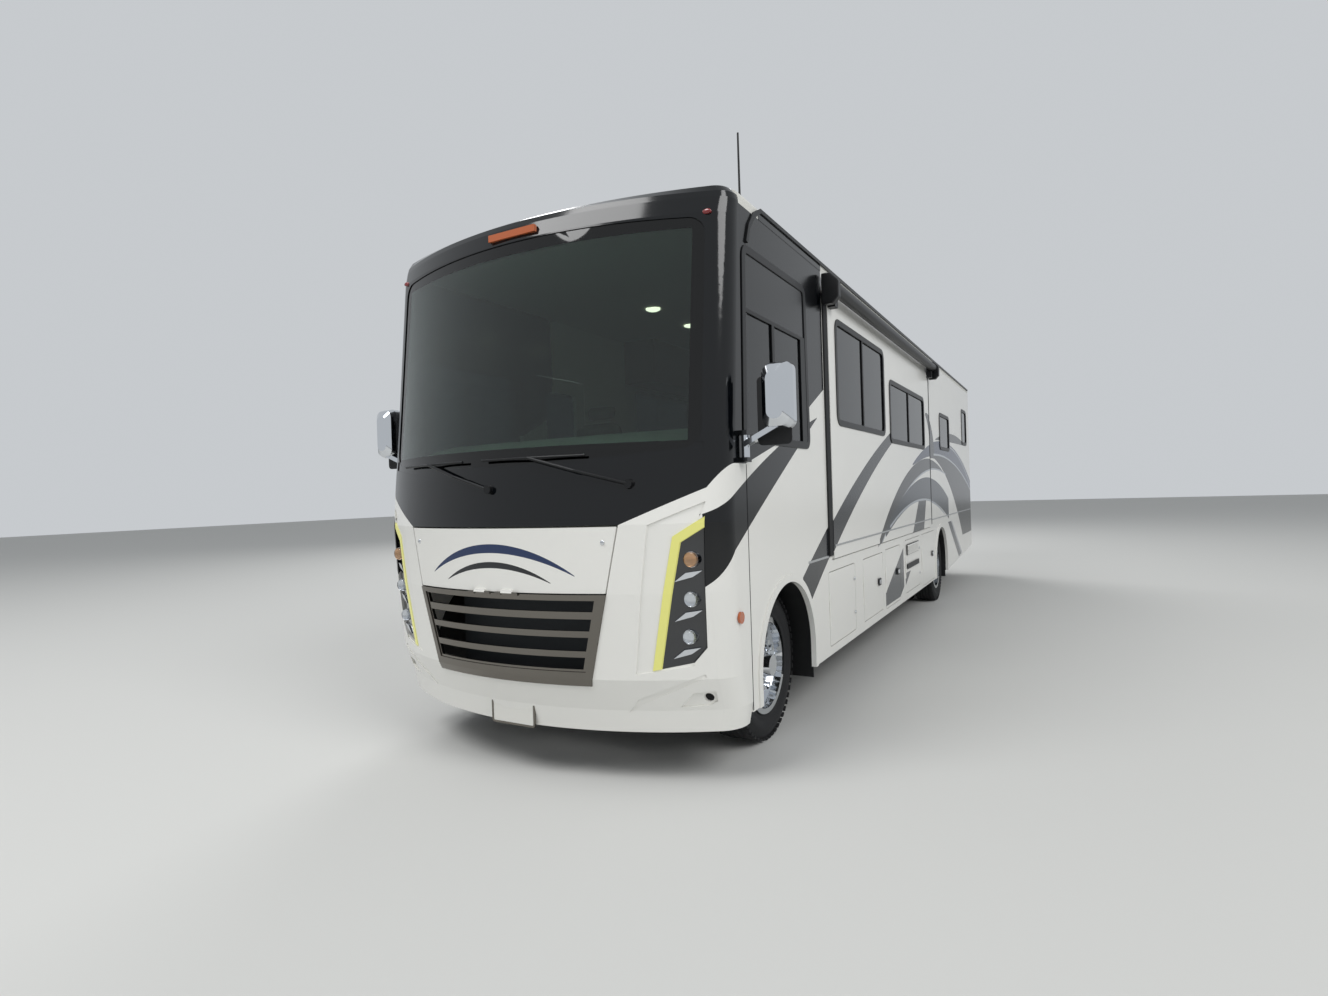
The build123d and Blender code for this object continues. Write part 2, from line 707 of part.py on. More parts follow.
def rim(y):
    """Outer side of a rim from its inner to its outer flange, as (radius, offset) points."""
    half = TYRE_WIDTH / 2 - RIM_INSET
    end = half + 2 + RIM_FLANGE
    return [
        (RIM_FLANGE_RADIUS, y - end), (RIM_FLANGE_RADIUS, y - half - 2), (BEAD_RADIUS, y - half),
        (BEAD_RADIUS, y + half), (RIM_FLANGE_RADIUS, y + half + 2), (RIM_FLANGE_RADIUS, y + end),
        (BEAD_RADIUS - RIM_WALL, y + end),
    ]


def hub(disc_y):
    """Outer side of a dished disc and its hub, ending at the hole in its middle."""
    steps = [(radius, disc_y + out) for radius, out in HUB]
    return [(BEAD_RADIUS - RIM_WALL - 12, disc_y + DISC_HALF)] + steps + [(HUB_HOLE, steps[-1][1])]


def fittings(x, disc_y):
    """Wheel nuts and hub cap on a disc's outer side, and the hand holes through it."""
    nuts = []
    holes = []
    for n in range(NUTS):
        turn = Pos(x, 0, AXLE_Z) * Rot(0, 360 * n / NUTS, 0)
        nut = extrude(RegularPolygon(NUT_RADIUS, 6), amount=NUT_HEIGHT)
        nuts.append(turn * Pos(NUT_CIRCLE, disc_y + DISC_HALF - 2, 0) * Rot(-90, 0, 0) * nut)
        hole = extrude(RegularPolygon(HAND_HOLE_RADIUS, 8), amount=3 * DISC_HALF)
        half_turn = Rot(0, 180 / NUTS, 0)
        holes.append(turn * half_turn * Pos(HAND_HOLE_CIRCLE, disc_y - 1.5 * DISC_HALF, 0) * Rot(-90, 0, 0) * hole)
    end = disc_y + HUB[-1][1]
    nuts.append(tube_y(x, end - 10, end, AXLE_Z, HUB_CAP_RADIUS))
    return nuts, holes


def front_wheel():
    """Front wheel of the driver's side, with the bore for its spindle."""
    y = FRONT_TRACK_HALF
    disc_y = y + FRONT_DISC_OUT
    flange_end = rim(y)[0][1]
    inside = BEAD_RADIUS - RIM_WALL
    back = [(HUB_HOLE, disc_y - DISC_HALF), (inside, disc_y - DISC_HALF), (inside, flange_end)]
    wheel = Pos(FRONT_AXLE_X, 0, AXLE_Z) * facet_ring(rim(y) + hub(disc_y) + back)
    nuts, holes = fittings(FRONT_AXLE_X, disc_y)
    wheel = wheel + nuts - holes
    return wheel - tube_y(FRONT_AXLE_X, disc_y - 2 * DISC_HALF, y + 65, AXLE_Z, SPINDLE_BORE)


def rear_wheel():
    """Twin rear wheels of the driver's side on one drum, with the bore for the axle."""
    y, inner_y = TWIN_OUTER_Y, TWIN_OUTER_Y - TWIN_SPACING
    disc_y, inner_disc_y = y - TWIN_DISC_OUT, inner_y + TWIN_DISC_OUT
    inside = BEAD_RADIUS - RIM_WALL
    back = [(HUB_HOLE, inner_disc_y - DISC_HALF), (inside, inner_disc_y - DISC_HALF), (inside, rim(inner_y)[0][1])]
    drum = [
        (inside - 12, inner_disc_y + DISC_HALF), (DRUM_RADIUS, inner_disc_y + DISC_HALF),
        (DRUM_RADIUS, disc_y - DISC_HALF), (inside, disc_y - DISC_HALF), (inside, rim(y)[0][1]),
    ]
    wheel = Pos(REAR_AXLE_X, 0, AXLE_Z) * facet_ring(rim(y) + hub(disc_y) + back + rim(inner_y) + drum)
    nuts, holes = fittings(REAR_AXLE_X, disc_y)
    wheel = wheel + nuts - holes
    return wheel - tube_y(REAR_AXLE_X, 0, disc_y, AXLE_Z, AXLE_BORE)


def knuckle():
    """Steering knuckle of the driver's side with its ears, pin, spindle and arm."""
    x, y, z = FRONT_AXLE_X, KINGPIN_Y, AXLE_Z
    part = Pos(x, y, z) * Cylinder(KINGPIN_RADIUS, 200)
    part += block(x - 40, x + 40, y + BOSS_RADIUS + 8, y + BOSS_RADIUS + 30, z - 100, z + 100)
    for dz in (80, -80):
        part += Pos(x, y, z + dz) * Cylinder(BOSS_RADIUS, 40)
        part += block(x - 40, x + 40, y, y + BOSS_RADIUS + 10, z + dz - 20, z + dz + 20)
    part += tube_y(x, y + BOSS_RADIUS + 20, FRONT_TRACK_HALF + 60, z, SPINDLE_RADIUS)
    part += bar((x, y - 10, ARM_Z + 5), (x - ARM_BACK, y - ARM_IN, ARM_Z + 5), 44, 22)
    return part + Pos(x - ARM_BACK, y - ARM_IN, ARM_Z + 5) * Cylinder(24, 22)


def mirror_piece():
    """Outside mirror of the driver's side: tapered shell, arm and pivot."""
    x, y, z = MIRROR
    rear = x - MIRROR_DEPTH / 2
    sections = []
    for ahead, width, height, corner in MIRROR_SECTIONS:
        plane = Plane(origin=(rear + ahead, y, z), x_dir=(0, 1, 0), z_dir=(1, 0, 0))
        sections.append(plane * RectangleRounded(width, height, corner))
    head = loft(sections, ruled=True)
    pivot = Pos(PIVOT_X, PIVOT_Y, PIVOT_Z) * Cylinder(PIVOT_RADIUS, PIVOT_LENGTH)
    foot = z - MIRROR_SECTIONS[0][2] / 2 + 20
    return head + pivot + bar((PIVOT_X, PIVOT_Y, PIVOT_Z + 10), (x, y, foot), *MIRROR_ARM)


def roof_unit(x, sections):
    """Moulded unit on the roof, from its rounded sections."""
    faces = [
        Pos(x, 0, WALL_TOP + ROOF_EDGE + ROOF_CROWN + height) * RectangleRounded(length, width, corner)
        for length, width, corner, height in sections
    ]
    return loft(faces, ruled=True)


def save(name, part):
    """Write one node."""
    solids = part.solids() if hasattr(part, "solids") else [s for piece in part for s in piece.solids()]
    export_step(Compound(children=[Solid(s.wrapped) for s in solids]), f"parts/{name}.step")


def group(pieces):
    """Several solids kept apart in one node."""
    return Compound(children=[solid for piece in pieces for solid in piece.solids()])


# Front cap: black upper mask with its ledge and mirror lugs, and the white lower fascia
shell = cap_layer(0, CAP_WALL)
mask_prism = across(both_sides(MASK_EDGE + [(1300, 3400)]))
mask = (shell & mask_prism) - windshield_prism(0)
mask -= cap_layer(-1, LEDGE_DEPTH, 1430, 3100) & across(both_sides(MASK_LEDGE))
for end in (1, -1):
    near = PIVOT_Z + end * (PIVOT_LENGTH / 2 + FIT)
    z0, z1 = sorted((near, near + end * MIRROR_LUG))
    lug = block(PIVOT_X - 30, PIVOT_X + 30, HALF_WIDTH - CAP_WALL + 5, PIVOT_Y + 20, z0, z1)
    mask += lug + mirrored(lug)
save("front_mask", mask)

fascia = shell - mask_prism
fascia -= across(opening_outline(0, OPENING_FOOT[1], OPENING_TOP[1] + 1))
fascia -= pair(LAMP_OUTLINE)
for outline, depth in ((CHEEK, CHEEK_DEPTH), (BUMPER_CREASE, CREASE_DEPTH), (FOG_RECESS, FOG_DEPTH)):
    skin = cap_layer(-1, depth, 0, 1700)
    fascia -= [skin & prism for prism in pair(outline)]
fog_y, fog_z, fog_radius = FOG_HOLE
fascia -= [tube_x(SEAM_X, NOSE_X, side * fog_y, fog_z, fog_radius) for side in (1, -1)]
save("front_fascia", fascia)

windshield = cap_layer(GLASS_RECESS, GLASS_RECESS + GLASS, 1700, 3190) & windshield_prism(FIT)
save("windshield", windshield)

# Hood and grille
hood = hood_hinge(1)
for depth, top_gap in ((HOOD_FLANGE, HOOD_TOP_GAP), (HOOD_WALL, 2 * HOOD_TOP_GAP)):
    hood_outline = opening_outline(DOOR_GAP + 2, OPENING_WAIST[1] + DOOR_GAP, OPENING_TOP[1] - top_gap)
    hood += cap_layer(0, depth, 600, 1700) & across(hood_outline)
save("hood_panel", hood)

grille_low, grille_high = OPENING_FOOT[1] + FIT, OPENING_WAIST[1] - FIT
grille = cap_layer(-GRILLE_PROUD, GRILLE_WALL - GRILLE_PROUD, 420, 1430)
grille &= across(opening_outline(FIT, grille_low, grille_high))
bars_low, bars_high = GRILLE_SLOTS[0][0] - 15, GRILLE_SLOTS[-1][1] + 5
bars_front = cap_layer(-GRILLE_PROUD - 2, GRILLE_STEP - GRILLE_PROUD, 420, 1430)
grille -= bars_front & across(opening_outline(GRILLE_RIM, bars_low, bars_high))
for bottom, top in GRILLE_SLOTS:
    grille -= across(opening_outline(GRILLE_BORDER, bottom, top))
save("grille", grille + hood_hinge(-1))

# Headlamps: housings, round lamps with their fins, running lights
lamp_shell = cap_layer(LAMP_RECESS, LAMP_RECESS + LAMP_DEPTH, 420, 1700)
fin_shell = cap_layer(LAMP_RECESS - FIN_PROUD, LAMP_RECESS - FIT, 420, 1700)
strip_shell = cap_layer(LAMP_RECESS - STRIP_PROUD, LAMP_RECESS - FIT, 420, 1700)
housings, lamps, strips = [], [], []
for side in (1, -1):
    face = closed([(SEAM_X, side * y, z) for y, z in LAMP_OUTLINE])
    face = offset(face, amount=-FIT, kind=Kind.INTERSECTION)
    prism = extrude(face, amount=NOSE_X - SEAM_X, dir=(1, 0, 0))
    housing = lamp_shell & prism
    strips.append((strip_shell & prism) - Pos(0, side * STRIP_WIDTH, -STRIP_WIDTH) * prism)
    for y, z, radius in ROUND_LAMPS:
        x = cap_x(y, z) - LAMP_RECESS
        lamps.append(tube_x(x - 40, x + LENS_PROUD, side * y, z, radius))
        lamps.append(fin_shell & across([(side * (y + dy), z + dz) for dy, dz in LAMP_FIN]))
        housing -= tube_x(x - 80, x + 60, side * y, z, radius + FIT)
    housings.append(housing)
save("headlamp_housings", group(housings))
save("headlamp_lamps", group(lamps))
save("running_lights", group(strips))

# Marker lamps: bar over the windshield, side markers
bar_half, bar_bottom, bar_top = MARKER_BAR
bar_x = cap_x(0, (bar_bottom + bar_top) / 2)
markers = [block(bar_x - 4 + FIT, bar_x + 20, -bar_half, bar_half, bar_bottom, bar_top) - cap_solid(-FIT)]
marker_x, marker_z, marker_radius = SIDE_MARKER
for side in (1, -1):
    markers.append(tube_y(marker_x, side * (HALF_WIDTH + FIT), side * (HALF_WIDTH + 14), marker_z, marker_radius))
save("marker_lamps", group(markers))

# Side walls and skirts
left_wall = side_wall(LEFT_WINDOWS)
left_wall -= block(SLIDE_REAR, SLIDE_FRONT, HALF_WIDTH - WALL - 1, HALF_WIDTH + 1, SKIRT_TOP - 1, SLIDE_TOP)
save("left_wall", left_wall)
right_wall = side_wall(RIGHT_WINDOWS)
right_wall -= block(ENTRY[1], ENTRY[0], HALF_WIDTH - WALL - 1, HALF_WIDTH + 1, SKIRT_TOP - 1, ENTRY[3])
for height in ENTRY_HINGES:
    right_wall += hinge_half(ENTRY[0], height, True)
save("right_wall", mirrored(right_wall))
skirts = [skirt(LEFT_BAYS, LEFT_SEAMS, False), mirrored(skirt(RIGHT_BAYS, RIGHT_SEAMS, True))]
save("side_skirts", group(skirts))

# Rear wall with its bumper
roof_top = WALL_TOP + ROOF_EDGE
rear_profile = [(HALF_WIDTH, TAIL_BOTTOM), (HALF_WIDTH, roof_top - 30), (HALF_WIDTH - 30, roof_top)]
rear_wall = across(both_sides(rear_profile), REAR_X, REAR_X + WALL)
bumper_plan = [(REAR_X + 1, HALF_WIDTH), (REAR_X - 20, HALF_WIDTH), (REAR_X - BUMPER_PROUD, HALF_WIDTH - 70)]
bumper_plan += [(x, -y) for x, y in reversed(bumper_plan)]
bumper = extrude(closed([(x, y, TAIL_BOTTOM) for x, y in bumper_plan]), amount=BUMPER_TOP - TAIL_BOTTOM, dir=(0, 0, 1))
save("rear_wall", rear_wall + bumper)

# Roof with rounded edges and a slight crown
edge_in = ROOF_EDGE_RADIUS * (1 - cos(radians(45)))
shoulder = roof_top - ROOF_EDGE_RADIUS
side_y = HALF_WIDTH - ROOF_EDGE_RADIUS
roof_edges = [
    Line((SEAM_X, -HALF_WIDTH, WALL_TOP), (SEAM_X, HALF_WIDTH, WALL_TOP)),
    Line((SEAM_X, HALF_WIDTH, WALL_TOP), (SEAM_X, HALF_WIDTH, shoulder)),
    ThreePointArc((SEAM_X, HALF_WIDTH, shoulder), (SEAM_X, HALF_WIDTH - edge_in, roof_top - edge_in), (SEAM_X, side_y, roof_top)),
    ThreePointArc((SEAM_X, side_y, roof_top), (SEAM_X, 0, roof_top + ROOF_CROWN), (SEAM_X, -side_y, roof_top)),
    ThreePointArc((SEAM_X, -side_y, roof_top), (SEAM_X, edge_in - HALF_WIDTH, roof_top - edge_in), (SEAM_X, -HALF_WIDTH, shoulder)),
    Line((SEAM_X, -HALF_WIDTH, shoulder), (SEAM_X, -HALF_WIDTH, WALL_TOP)),
]
roof_face = Face(Wire([edge for piece in roof_edges for edge in piece.edges()]))
roof = extrude(roof_face, amount=SEAM_X - REAR_X - WALL, dir=(-1, 0, 0))
save("roof", roof)

# Floor with the engine cover and the entry step
inner_y = HALF_WIDTH - WALL
floor = block(REAR_X + WALL, SEAM_X, -inner_y, inner_y, FLOOR_BOTTOM, FLOOR_TOP)
floor += block(SEAM_X - 1, station(FIREWALL[1]), -FLOOR_NOSE_HALF, FLOOR_NOSE_HALF, FLOOR_BOTTOM, FLOOR_TOP)
cover_x0, cover_x1 = station(ENGINE_REAR - COVER_GAP), station(ENGINE_FRONT + COVER_GAP)
cover_half, cover_top = ENGINE_HALF_WIDTH + COVER_GAP, ENGINE_TOP + COVER_GAP
cover_side = cover_half + COVER_WALL
floor += block(cover_x0 - COVER_WALL, cover_x1 + COVER_WALL, -cover_side, cover_side, FLOOR_BOTTOM, cover_top + COVER_WALL)
floor -= block(cover_x0, cover_x1, -cover_half, cover_half, FLOOR_BOTTOM - 1, cover_top)
step_x0, step_x1 = ENTRY[1], ENTRY[0]
step_y0 = -inner_y + STEP_DEPTH
floor -= block(step_x0, step_x1, -inner_y - 1, step_y0, FLOOR_BOTTOM - 1, FLOOR_TOP + 1)
step_bottom = STEP_HEIGHT - STEP_WALL
step = block(step_x0 - STEP_WALL, step_x1 + STEP_WALL, -inner_y, step_y0 + STEP_WALL, step_bottom, FLOOR_BOTTOM)
step -= block(step_x0, step_x1, -HALF_WIDTH, step_y0, STEP_HEIGHT, FLOOR_BOTTOM + 1)
save("floor", floor + step)

liners = [liner(FRONT_AXLE_X, STEER_ROOM), liner(REAR_AXLE_X, 0)]
save("wheel_wells", group(liners + [mirrored(piece) for piece in liners]))

# Bays and their doors
trays = [bay_tray(bay) for bay in LEFT_BAYS] + [mirrored(bay_tray(bay)) for bay in RIGHT_BAYS]
save("storage_bay_left_1", trays[0])
save("storage_bays", group(trays[1:]))
for number, bay in enumerate(LEFT_BAYS, 1):
    save(f"bay_door_left_{number}", bay_door(bay))
for number, bay in enumerate(RIGHT_BAYS, 1):
    save(f"bay_door_right_{number}", mirrored(bay_door(bay)))

# Entry door with its window and hinges
front, rear, bottom, top = ENTRY
entry = block(rear + DOOR_GAP, front - DOOR_GAP, HALF_WIDTH - ENTRY_THICK, HALF_WIDTH, bottom + DOOR_GAP, top - DOOR_GAP)
margin = ENTRY_WINDOW_MARGIN
entry_window = (front - margin, rear + margin, ENTRY_WINDOW_BOTTOM, top - margin)
entry -= side_plate(
    rear + margin, front - margin, ENTRY_WINDOW_BOTTOM, top - margin,
    HALF_WIDTH - ENTRY_THICK - 1, HALF_WIDTH + 1, WINDOW_CORNER,
)
for height in ENTRY_HINGES:
    entry += hinge_half(front, height, False)
save("entry_door", mirrored(entry))
save("entry_door_glass", mirrored(pane(entry_window, HALF_WIDTH)))

# Fixed side glass
panes = [pane(window, HALF_WIDTH) for window in LEFT_WINDOWS]
panes += [mirrored(pane(window, HALF_WIDTH)) for window in RIGHT_WINDOWS]
save("side_glass", group(panes))

# Slide-out room: outer wall, hollow box on runners, glass and the roller of its cover
slide_y = HALF_WIDTH + SLIDE_PROUD
slide_gap = DOOR_GAP + 2
slide_x0, slide_x1 = SLIDE_REAR + slide_gap, SLIDE_FRONT - slide_gap
slide_z1 = SLIDE_TOP - slide_gap
slide_wall = block(slide_x0, slide_x1, slide_y - WALL, slide_y, SLIDE_BOTTOM, slide_z1)
for front, rear, bottom, top in SLIDE_WINDOWS:
    slide_wall -= side_plate(rear, front, bottom, top, slide_y - WALL - 1, slide_y + 1, WINDOW_CORNER)
save("slide_wall", slide_wall)
box_x0, box_x1 = slide_x0 + SLIDE_BOX_INSET, slide_x1 - SLIDE_BOX_INSET
box_z0, box_z1 = FLOOR_TOP + 30, slide_z1 - SLIDE_BOX_INSET
box_y1 = slide_y - WALL
slide_box = block(box_x0, box_x1, box_y1 - SLIDE_DEPTH, box_y1, box_z0, box_z1)
slide_box -= block(
    box_x0 + SLIDE_BOX_WALL, box_x1 - SLIDE_BOX_WALL, box_y1 - SLIDE_DEPTH - 1, box_y1 + 1,
    box_z0 + SLIDE_BOX_WALL, box_z1 - SLIDE_BOX_WALL,
)
for x in (box_x0 + RUNNER_INSET, box_x1 - RUNNER_INSET):
    runner = (x - RUNNER_WIDTH / 2, x + RUNNER_WIDTH / 2, box_y1 - SLIDE_DEPTH, box_y1)
    slide_box += block(*runner, FLOOR_TOP + FIT, box_z0 + 1)
save("slide_box", slide_box)
save("slide_glass", group([pane(window, slide_y) for window in SLIDE_WINDOWS]))
roller_x0, roller_x1 = SLIDE_REAR - ROLLER_OVERHANG, SLIDE_FRONT + ROLLER_OVERHANG
roller_y = slide_y + ROLLER_CAP_RADIUS
topper = tube_x(roller_x0, roller_x1, roller_y, ROLLER_Z, ROLLER_RADIUS)
for x0, x1 in ((roller_x0 - ROLLER_CAP, roller_x0 + 1), (roller_x1 - 1, roller_x1 + ROLLER_CAP)):
    topper += tube_x(x0, x1, roller_y, ROLLER_Z, ROLLER_CAP_RADIUS)
for x in (slide_x0 + 40, slide_x1 - 40):
    topper += block(x - 40, x + 40, slide_y, roller_y, slide_z1 - 60, ROLLER_Z)
save("slide_topper", topper)

# Chassis frame with its receiver, then the springs in their hangers
rail_x0, rail_x1 = REAR_X + 60, station(RADIATOR[0])
web = RAIL_Y - RAIL_GAUGE
rail = block(rail_x0, rail_x1, RAIL_Y - RAIL_FLANGE, RAIL_Y, RAIL_BOTTOM, RAIL_TOP)
rail -= block(rail_x0 - 1, rail_x1 + 1, RAIL_Y - RAIL_FLANGE - 1, web, RAIL_BOTTOM + RAIL_GAUGE, RAIL_TOP - RAIL_GAUGE)
frame = rail + mirrored(rail)
for x in CROSS_MEMBERS:
    frame += block(x - MEMBER_HALF, x + MEMBER_HALF, -web, web, RAIL_TOP - 110, RAIL_TOP - 10)
for x in BEARERS:
    frame += block(x - MEMBER_HALF, x + MEMBER_HALF, -BEARER_HALF, BEARER_HALF, RAIL_TOP - 1, FLOOR_BOTTOM)
for ahead in ENGINE_MOUNTS:
    mount = block(station(ahead - 40), station(ahead + 40), ENGINE_HALF_WIDTH + FIT, RAIL_Y - 2, RAIL_BOTTOM + 2, RAIL_BOTTOM + 42)
    frame += mount + mirrored(mount)
low, high = RECEIVER_Z - RECEIVER_OUT, RECEIVER_Z + RECEIVER_OUT
bar_x0, bar_x1 = RECEIVER_X + HITCH_BAR[0], RECEIVER_X + HITCH_BAR[1]
receiver = block(RECEIVER_X, bar_x1, -RECEIVER_OUT, RECEIVER_OUT, low, high)
receiver += block(bar_x0, bar_x1, -RAIL_Y, RAIL_Y, low, high)
drop = block(bar_x0, bar_x1, RAIL_Y - 10, RAIL_Y, RECEIVER_Z, RAIL_BOTTOM + 1)
receiver += drop + mirrored(drop)
socket = (RECEIVER_X - 1, RECEIVER_X + RECEIVER_DEPTH, -RECEIVER_IN, RECEIVER_IN)
receiver -= block(*socket, RECEIVER_Z - RECEIVER_IN, RECEIVER_Z + RECEIVER_IN)
receiver -= tube_y(RECEIVER_X + PIN_SETBACK, -RECEIVER_OUT - 1, RECEIVER_OUT + 1, RECEIVER_Z, PIN_RADIUS)
frame += receiver
springs = []
for x, reach in SPRINGS:
    y0 = SPRING_Y - SPRING_WIDTH / 2
    lower = [(x - reach, y0, SPRING_SEAT + SPRING_RISE), (x, y0, SPRING_SEAT), (x + reach, y0, SPRING_SEAT + SPRING_RISE)]
    upper = [(a, b, c + SPRING_THICK) for a, b, c in lower]
    edges = [
        ThreePointArc(*lower), Line(lower[2], upper[2]),
        ThreePointArc(upper[2], upper[1], upper[0]), Line(upper[0], lower[0]),
    ]
    face = Face(Wire([edge for piece in edges for edge in piece.edges()]))
    spring = extrude(face, amount=SPRING_WIDTH, dir=(0, 1, 0))
    springs += [spring, mirrored(spring)]
    for end in (-1, 1):
        hanger_x = x + end * (reach - 30)
        hanger_z = SPRING_SEAT + SPRING_RISE + SPRING_THICK - 4
        hanger = block(hanger_x - 30, hanger_x + 30, RAIL_Y - 1, SPRING_Y + SPRING_WIDTH / 2, hanger_z, RAIL_TOP - 100)
        frame += hanger + mirrored(hanger)
springs = [spring - frame for spring in springs]
save("leaf_springs", group(springs))
save("chassis_frame", frame)

# Axles
beam = block(FRONT_AXLE_X - 40, FRONT_AXLE_X + 40, -BEAM_END_Y, BEAM_END_Y, BEAM_TOP - 100, BEAM_TOP)
rear_axle = tube_y(REAR_AXLE_X, -TWIN_OUTER_Y + 500, TWIN_OUTER_Y - 500, AXLE_Z, HOUSING_RADIUS)
rear_axle += tube_y(REAR_AXLE_X, -110, 110, AXLE_Z, DIFFERENTIAL_RADIUS)
rear_axle += tube_x(REAR_AXLE_X + 100, REAR_AXLE_X + PINION_REACH, 0, AXLE_Z, 60)
for number, side in enumerate((1, -1)):
    y0, y1 = sorted((side * (BEAM_END_Y - 80), side * KINGPIN_Y))
    beam += block(FRONT_AXLE_X - 36, FRONT_AXLE_X + 36, y0, y1, BEAM_TOP - 36, BEAM_TOP + 50)
    beam += Pos(FRONT_AXLE_X, side * KINGPIN_Y, AXLE_Z) * Cylinder(BOSS_RADIUS, 110)
    beam -= Pos(FRONT_AXLE_X, side * KINGPIN_Y, AXLE_Z) * Cylinder(KINGPIN_RADIUS + RUNNING_FIT, 400)
    pad_y0, pad_y1 = side * SPRING_Y - 38, side * SPRING_Y + 38
    pad = block(FRONT_AXLE_X - 60, FRONT_AXLE_X + 60, pad_y0, pad_y1, BEAM_TOP - 1, SPRING_SEAT)
    beam += pad - springs[number]
    rear_axle += tube_y(REAR_AXLE_X, side * 500, side * (TWIN_OUTER_Y - 90), AXLE_Z, AXLE_TUBE_RADIUS)
    pad = block(REAR_AXLE_X - 60, REAR_AXLE_X + 60, pad_y0, pad_y1, AXLE_Z, SPRING_SEAT)
    rear_axle += pad - springs[2 + number]
save("axles", group([beam, rear_axle]))

# Steering knuckles and tie rod
left_knuckle = knuckle()
save("knuckle_left", left_knuckle)
save("knuckle_right", mirrored(left_knuckle))
tie_x, tie_y = FRONT_AXLE_X - ARM_BACK, KINGPIN_Y - ARM_IN
tie_rod = tube_y(tie_x, -tie_y, tie_y, TIE_Z, 16)
for side in (1, -1):
    tie_rod += block(tie_x - 20, tie_x + 20, side * tie_y - 20, side * tie_y + 20, TIE_Z - 15, EYE_BOTTOM - FIT)
save("tie_rod", tie_rod)

# Wheels and tyres
front_tyre = Pos(FRONT_AXLE_X, 0, AXLE_Z) * tyre(FRONT_TRACK_HALF)
save("tyre_front_left", front_tyre)
save("tyre_front_right", mirrored(front_tyre))
save("wheel_front_left", front_wheel())
save("wheel_front_right", mirrored(front_wheel()))
rear_tyres = [Pos(REAR_AXLE_X, 0, AXLE_Z) * tyre(y) for y in (TWIN_OUTER_Y, TWIN_OUTER_Y - TWIN_SPACING)]
save("tyres_rear_left", group(rear_tyres))
save("tyres_rear_right", group([mirrored(piece) for piece in rear_tyres]))
save("wheels_rear_left", rear_wheel())
save("wheels_rear_right", mirrored(rear_wheel()))

# Engine block and underfloor units: radiator, fuel tank, gearbox, drive shaft
engine = (station(ENGINE_REAR), station(ENGINE_FRONT), -ENGINE_HALF_WIDTH, ENGINE_HALF_WIDTH)
save("engine", block(*engine, ENGINE_BOTTOM, ENGINE_TOP))
under = [
    block(station(RADIATOR[0]), station(RADIATOR[1]), -520, 520, 560, 1050),
    block(REAR_AXLE_X - TANK[0], REAR_AXLE_X - TANK[1], -420, 420, 400, RAIL_BOTTOM - FIT),
    tube_x(station(ENGINE_REAR) - FIT, station(GEARBOX_REAR), 0, 620, 110),
    rod((station(GEARBOX_REAR), 0, 610), (REAR_AXLE_X + PINION_REACH + 3, 0, AXLE_Z), 45),
]
save("underfloor_units", group(under))

# Dashboard with its firewall, instrument hood and steering column
tilt = radians(WHEEL_TILT)
steering_origin = (station(WHEEL_AHEAD), SEAT_Y, WHEEL_HEIGHT)
steering_plane = Plane(origin=steering_origin, x_dir=(0, 1, 0), z_dir=(-cos(tilt), 0, sin(tilt)))
dash_rear = station(DASH_REAR)
dash = cap_solid(DASH_INSET, 1063, 1840) & block(SEAM_X, NOSE_X, -DASH_HALF, DASH_HALF, DASH_BOTTOM, DASH_TOP)
dash += block(dash_rear, SEAM_X + 1, -DASH_HALF, DASH_HALF, DASH_BOTTOM, DASH_TOP)
dash += block(*[station(x) for x in FIREWALL], -FLOOR_NOSE_HALF, FLOOR_NOSE_HALF, FLOOR_TOP, DASH_BOTTOM + 1)
hole_y, hole_z = cover_side + FIT, cover_top + COVER_WALL + FIT
dash -= block(station(700), station(900), -hole_y, hole_y, FLOOR_TOP - 1, hole_z)
binnacle = closed([(dash_rear + ahead, SEAT_Y - BINNACLE_HALF, DASH_TOP + rise) for ahead, rise in BINNACLE])
dash += extrude(binnacle, amount=2 * BINNACLE_HALF, dir=(0, 1, 0))
dash += steering_plane * Pos(0, 0, -SHAFT_LENGTH + 70) * Cylinder(COLUMN_RADIUS, 200)
dash -= steering_plane * Pos(0, 0, -SHAFT_LENGTH / 2) * Cylinder(SHAFT_RADIUS + RUNNING_FIT, SHAFT_LENGTH + 2)
save("dashboard", dash)

# Steering wheel: rim, three spokes, hub and shaft
rim_section = [radians(45 * n) for n in range(8)]
steering_wheel = Rot(90, 0, 0) * facet_ring([(RIM_CIRCLE + RIM_RADIUS * cos(a), RIM_RADIUS * sin(a)) for a in rim_section])
for spoke in range(3):
    steering_wheel += Rot(0, 0, 90 + 120 * spoke) * Pos(RIM_CIRCLE / 2, 0, 0) * Box(RIM_CIRCLE - 10, 30, 14)
steering_wheel += Cylinder(45, 30)
steering_wheel += Pos(0, 0, -SHAFT_LENGTH / 2) * Cylinder(SHAFT_RADIUS, SHAFT_LENGTH)
save("steering_wheel", steering_plane * steering_wheel)

# Cab seats on their pedestals
seat_x0, seat_x1 = station(SEAT_FRONT - SEAT_LENGTH), station(SEAT_FRONT)
half = SEAT_WIDTH / 2
seats = []
for y in (SEAT_Y, -SEAT_Y):
    seat = block(seat_x0, seat_x1, y - half, y + half, SEAT_TOP - SEAT_THICK, SEAT_TOP)
    pedestal = (seat_x0 + 120, seat_x1 - 120, y - PEDESTAL_HALF, y + PEDESTAL_HALF)
    seat += block(*pedestal, FLOOR_TOP, SEAT_TOP - SEAT_THICK + 1)
    height = SEAT_BACK_TOP - SEAT_TOP
    back = Pos(0, 0, height / 2) * Box(SEAT_BACK_THICK, SEAT_WIDTH - 20, height)
    back += Pos(0, 0, height + 60) * Box(SEAT_BACK_THICK - 40, 280, 160)
    seats.append(seat + Pos(seat_x0 + 10, y, SEAT_TOP - 20) * Rot(0, -SEAT_RECLINE, 0) * back)
save("cab_seats", group(seats))

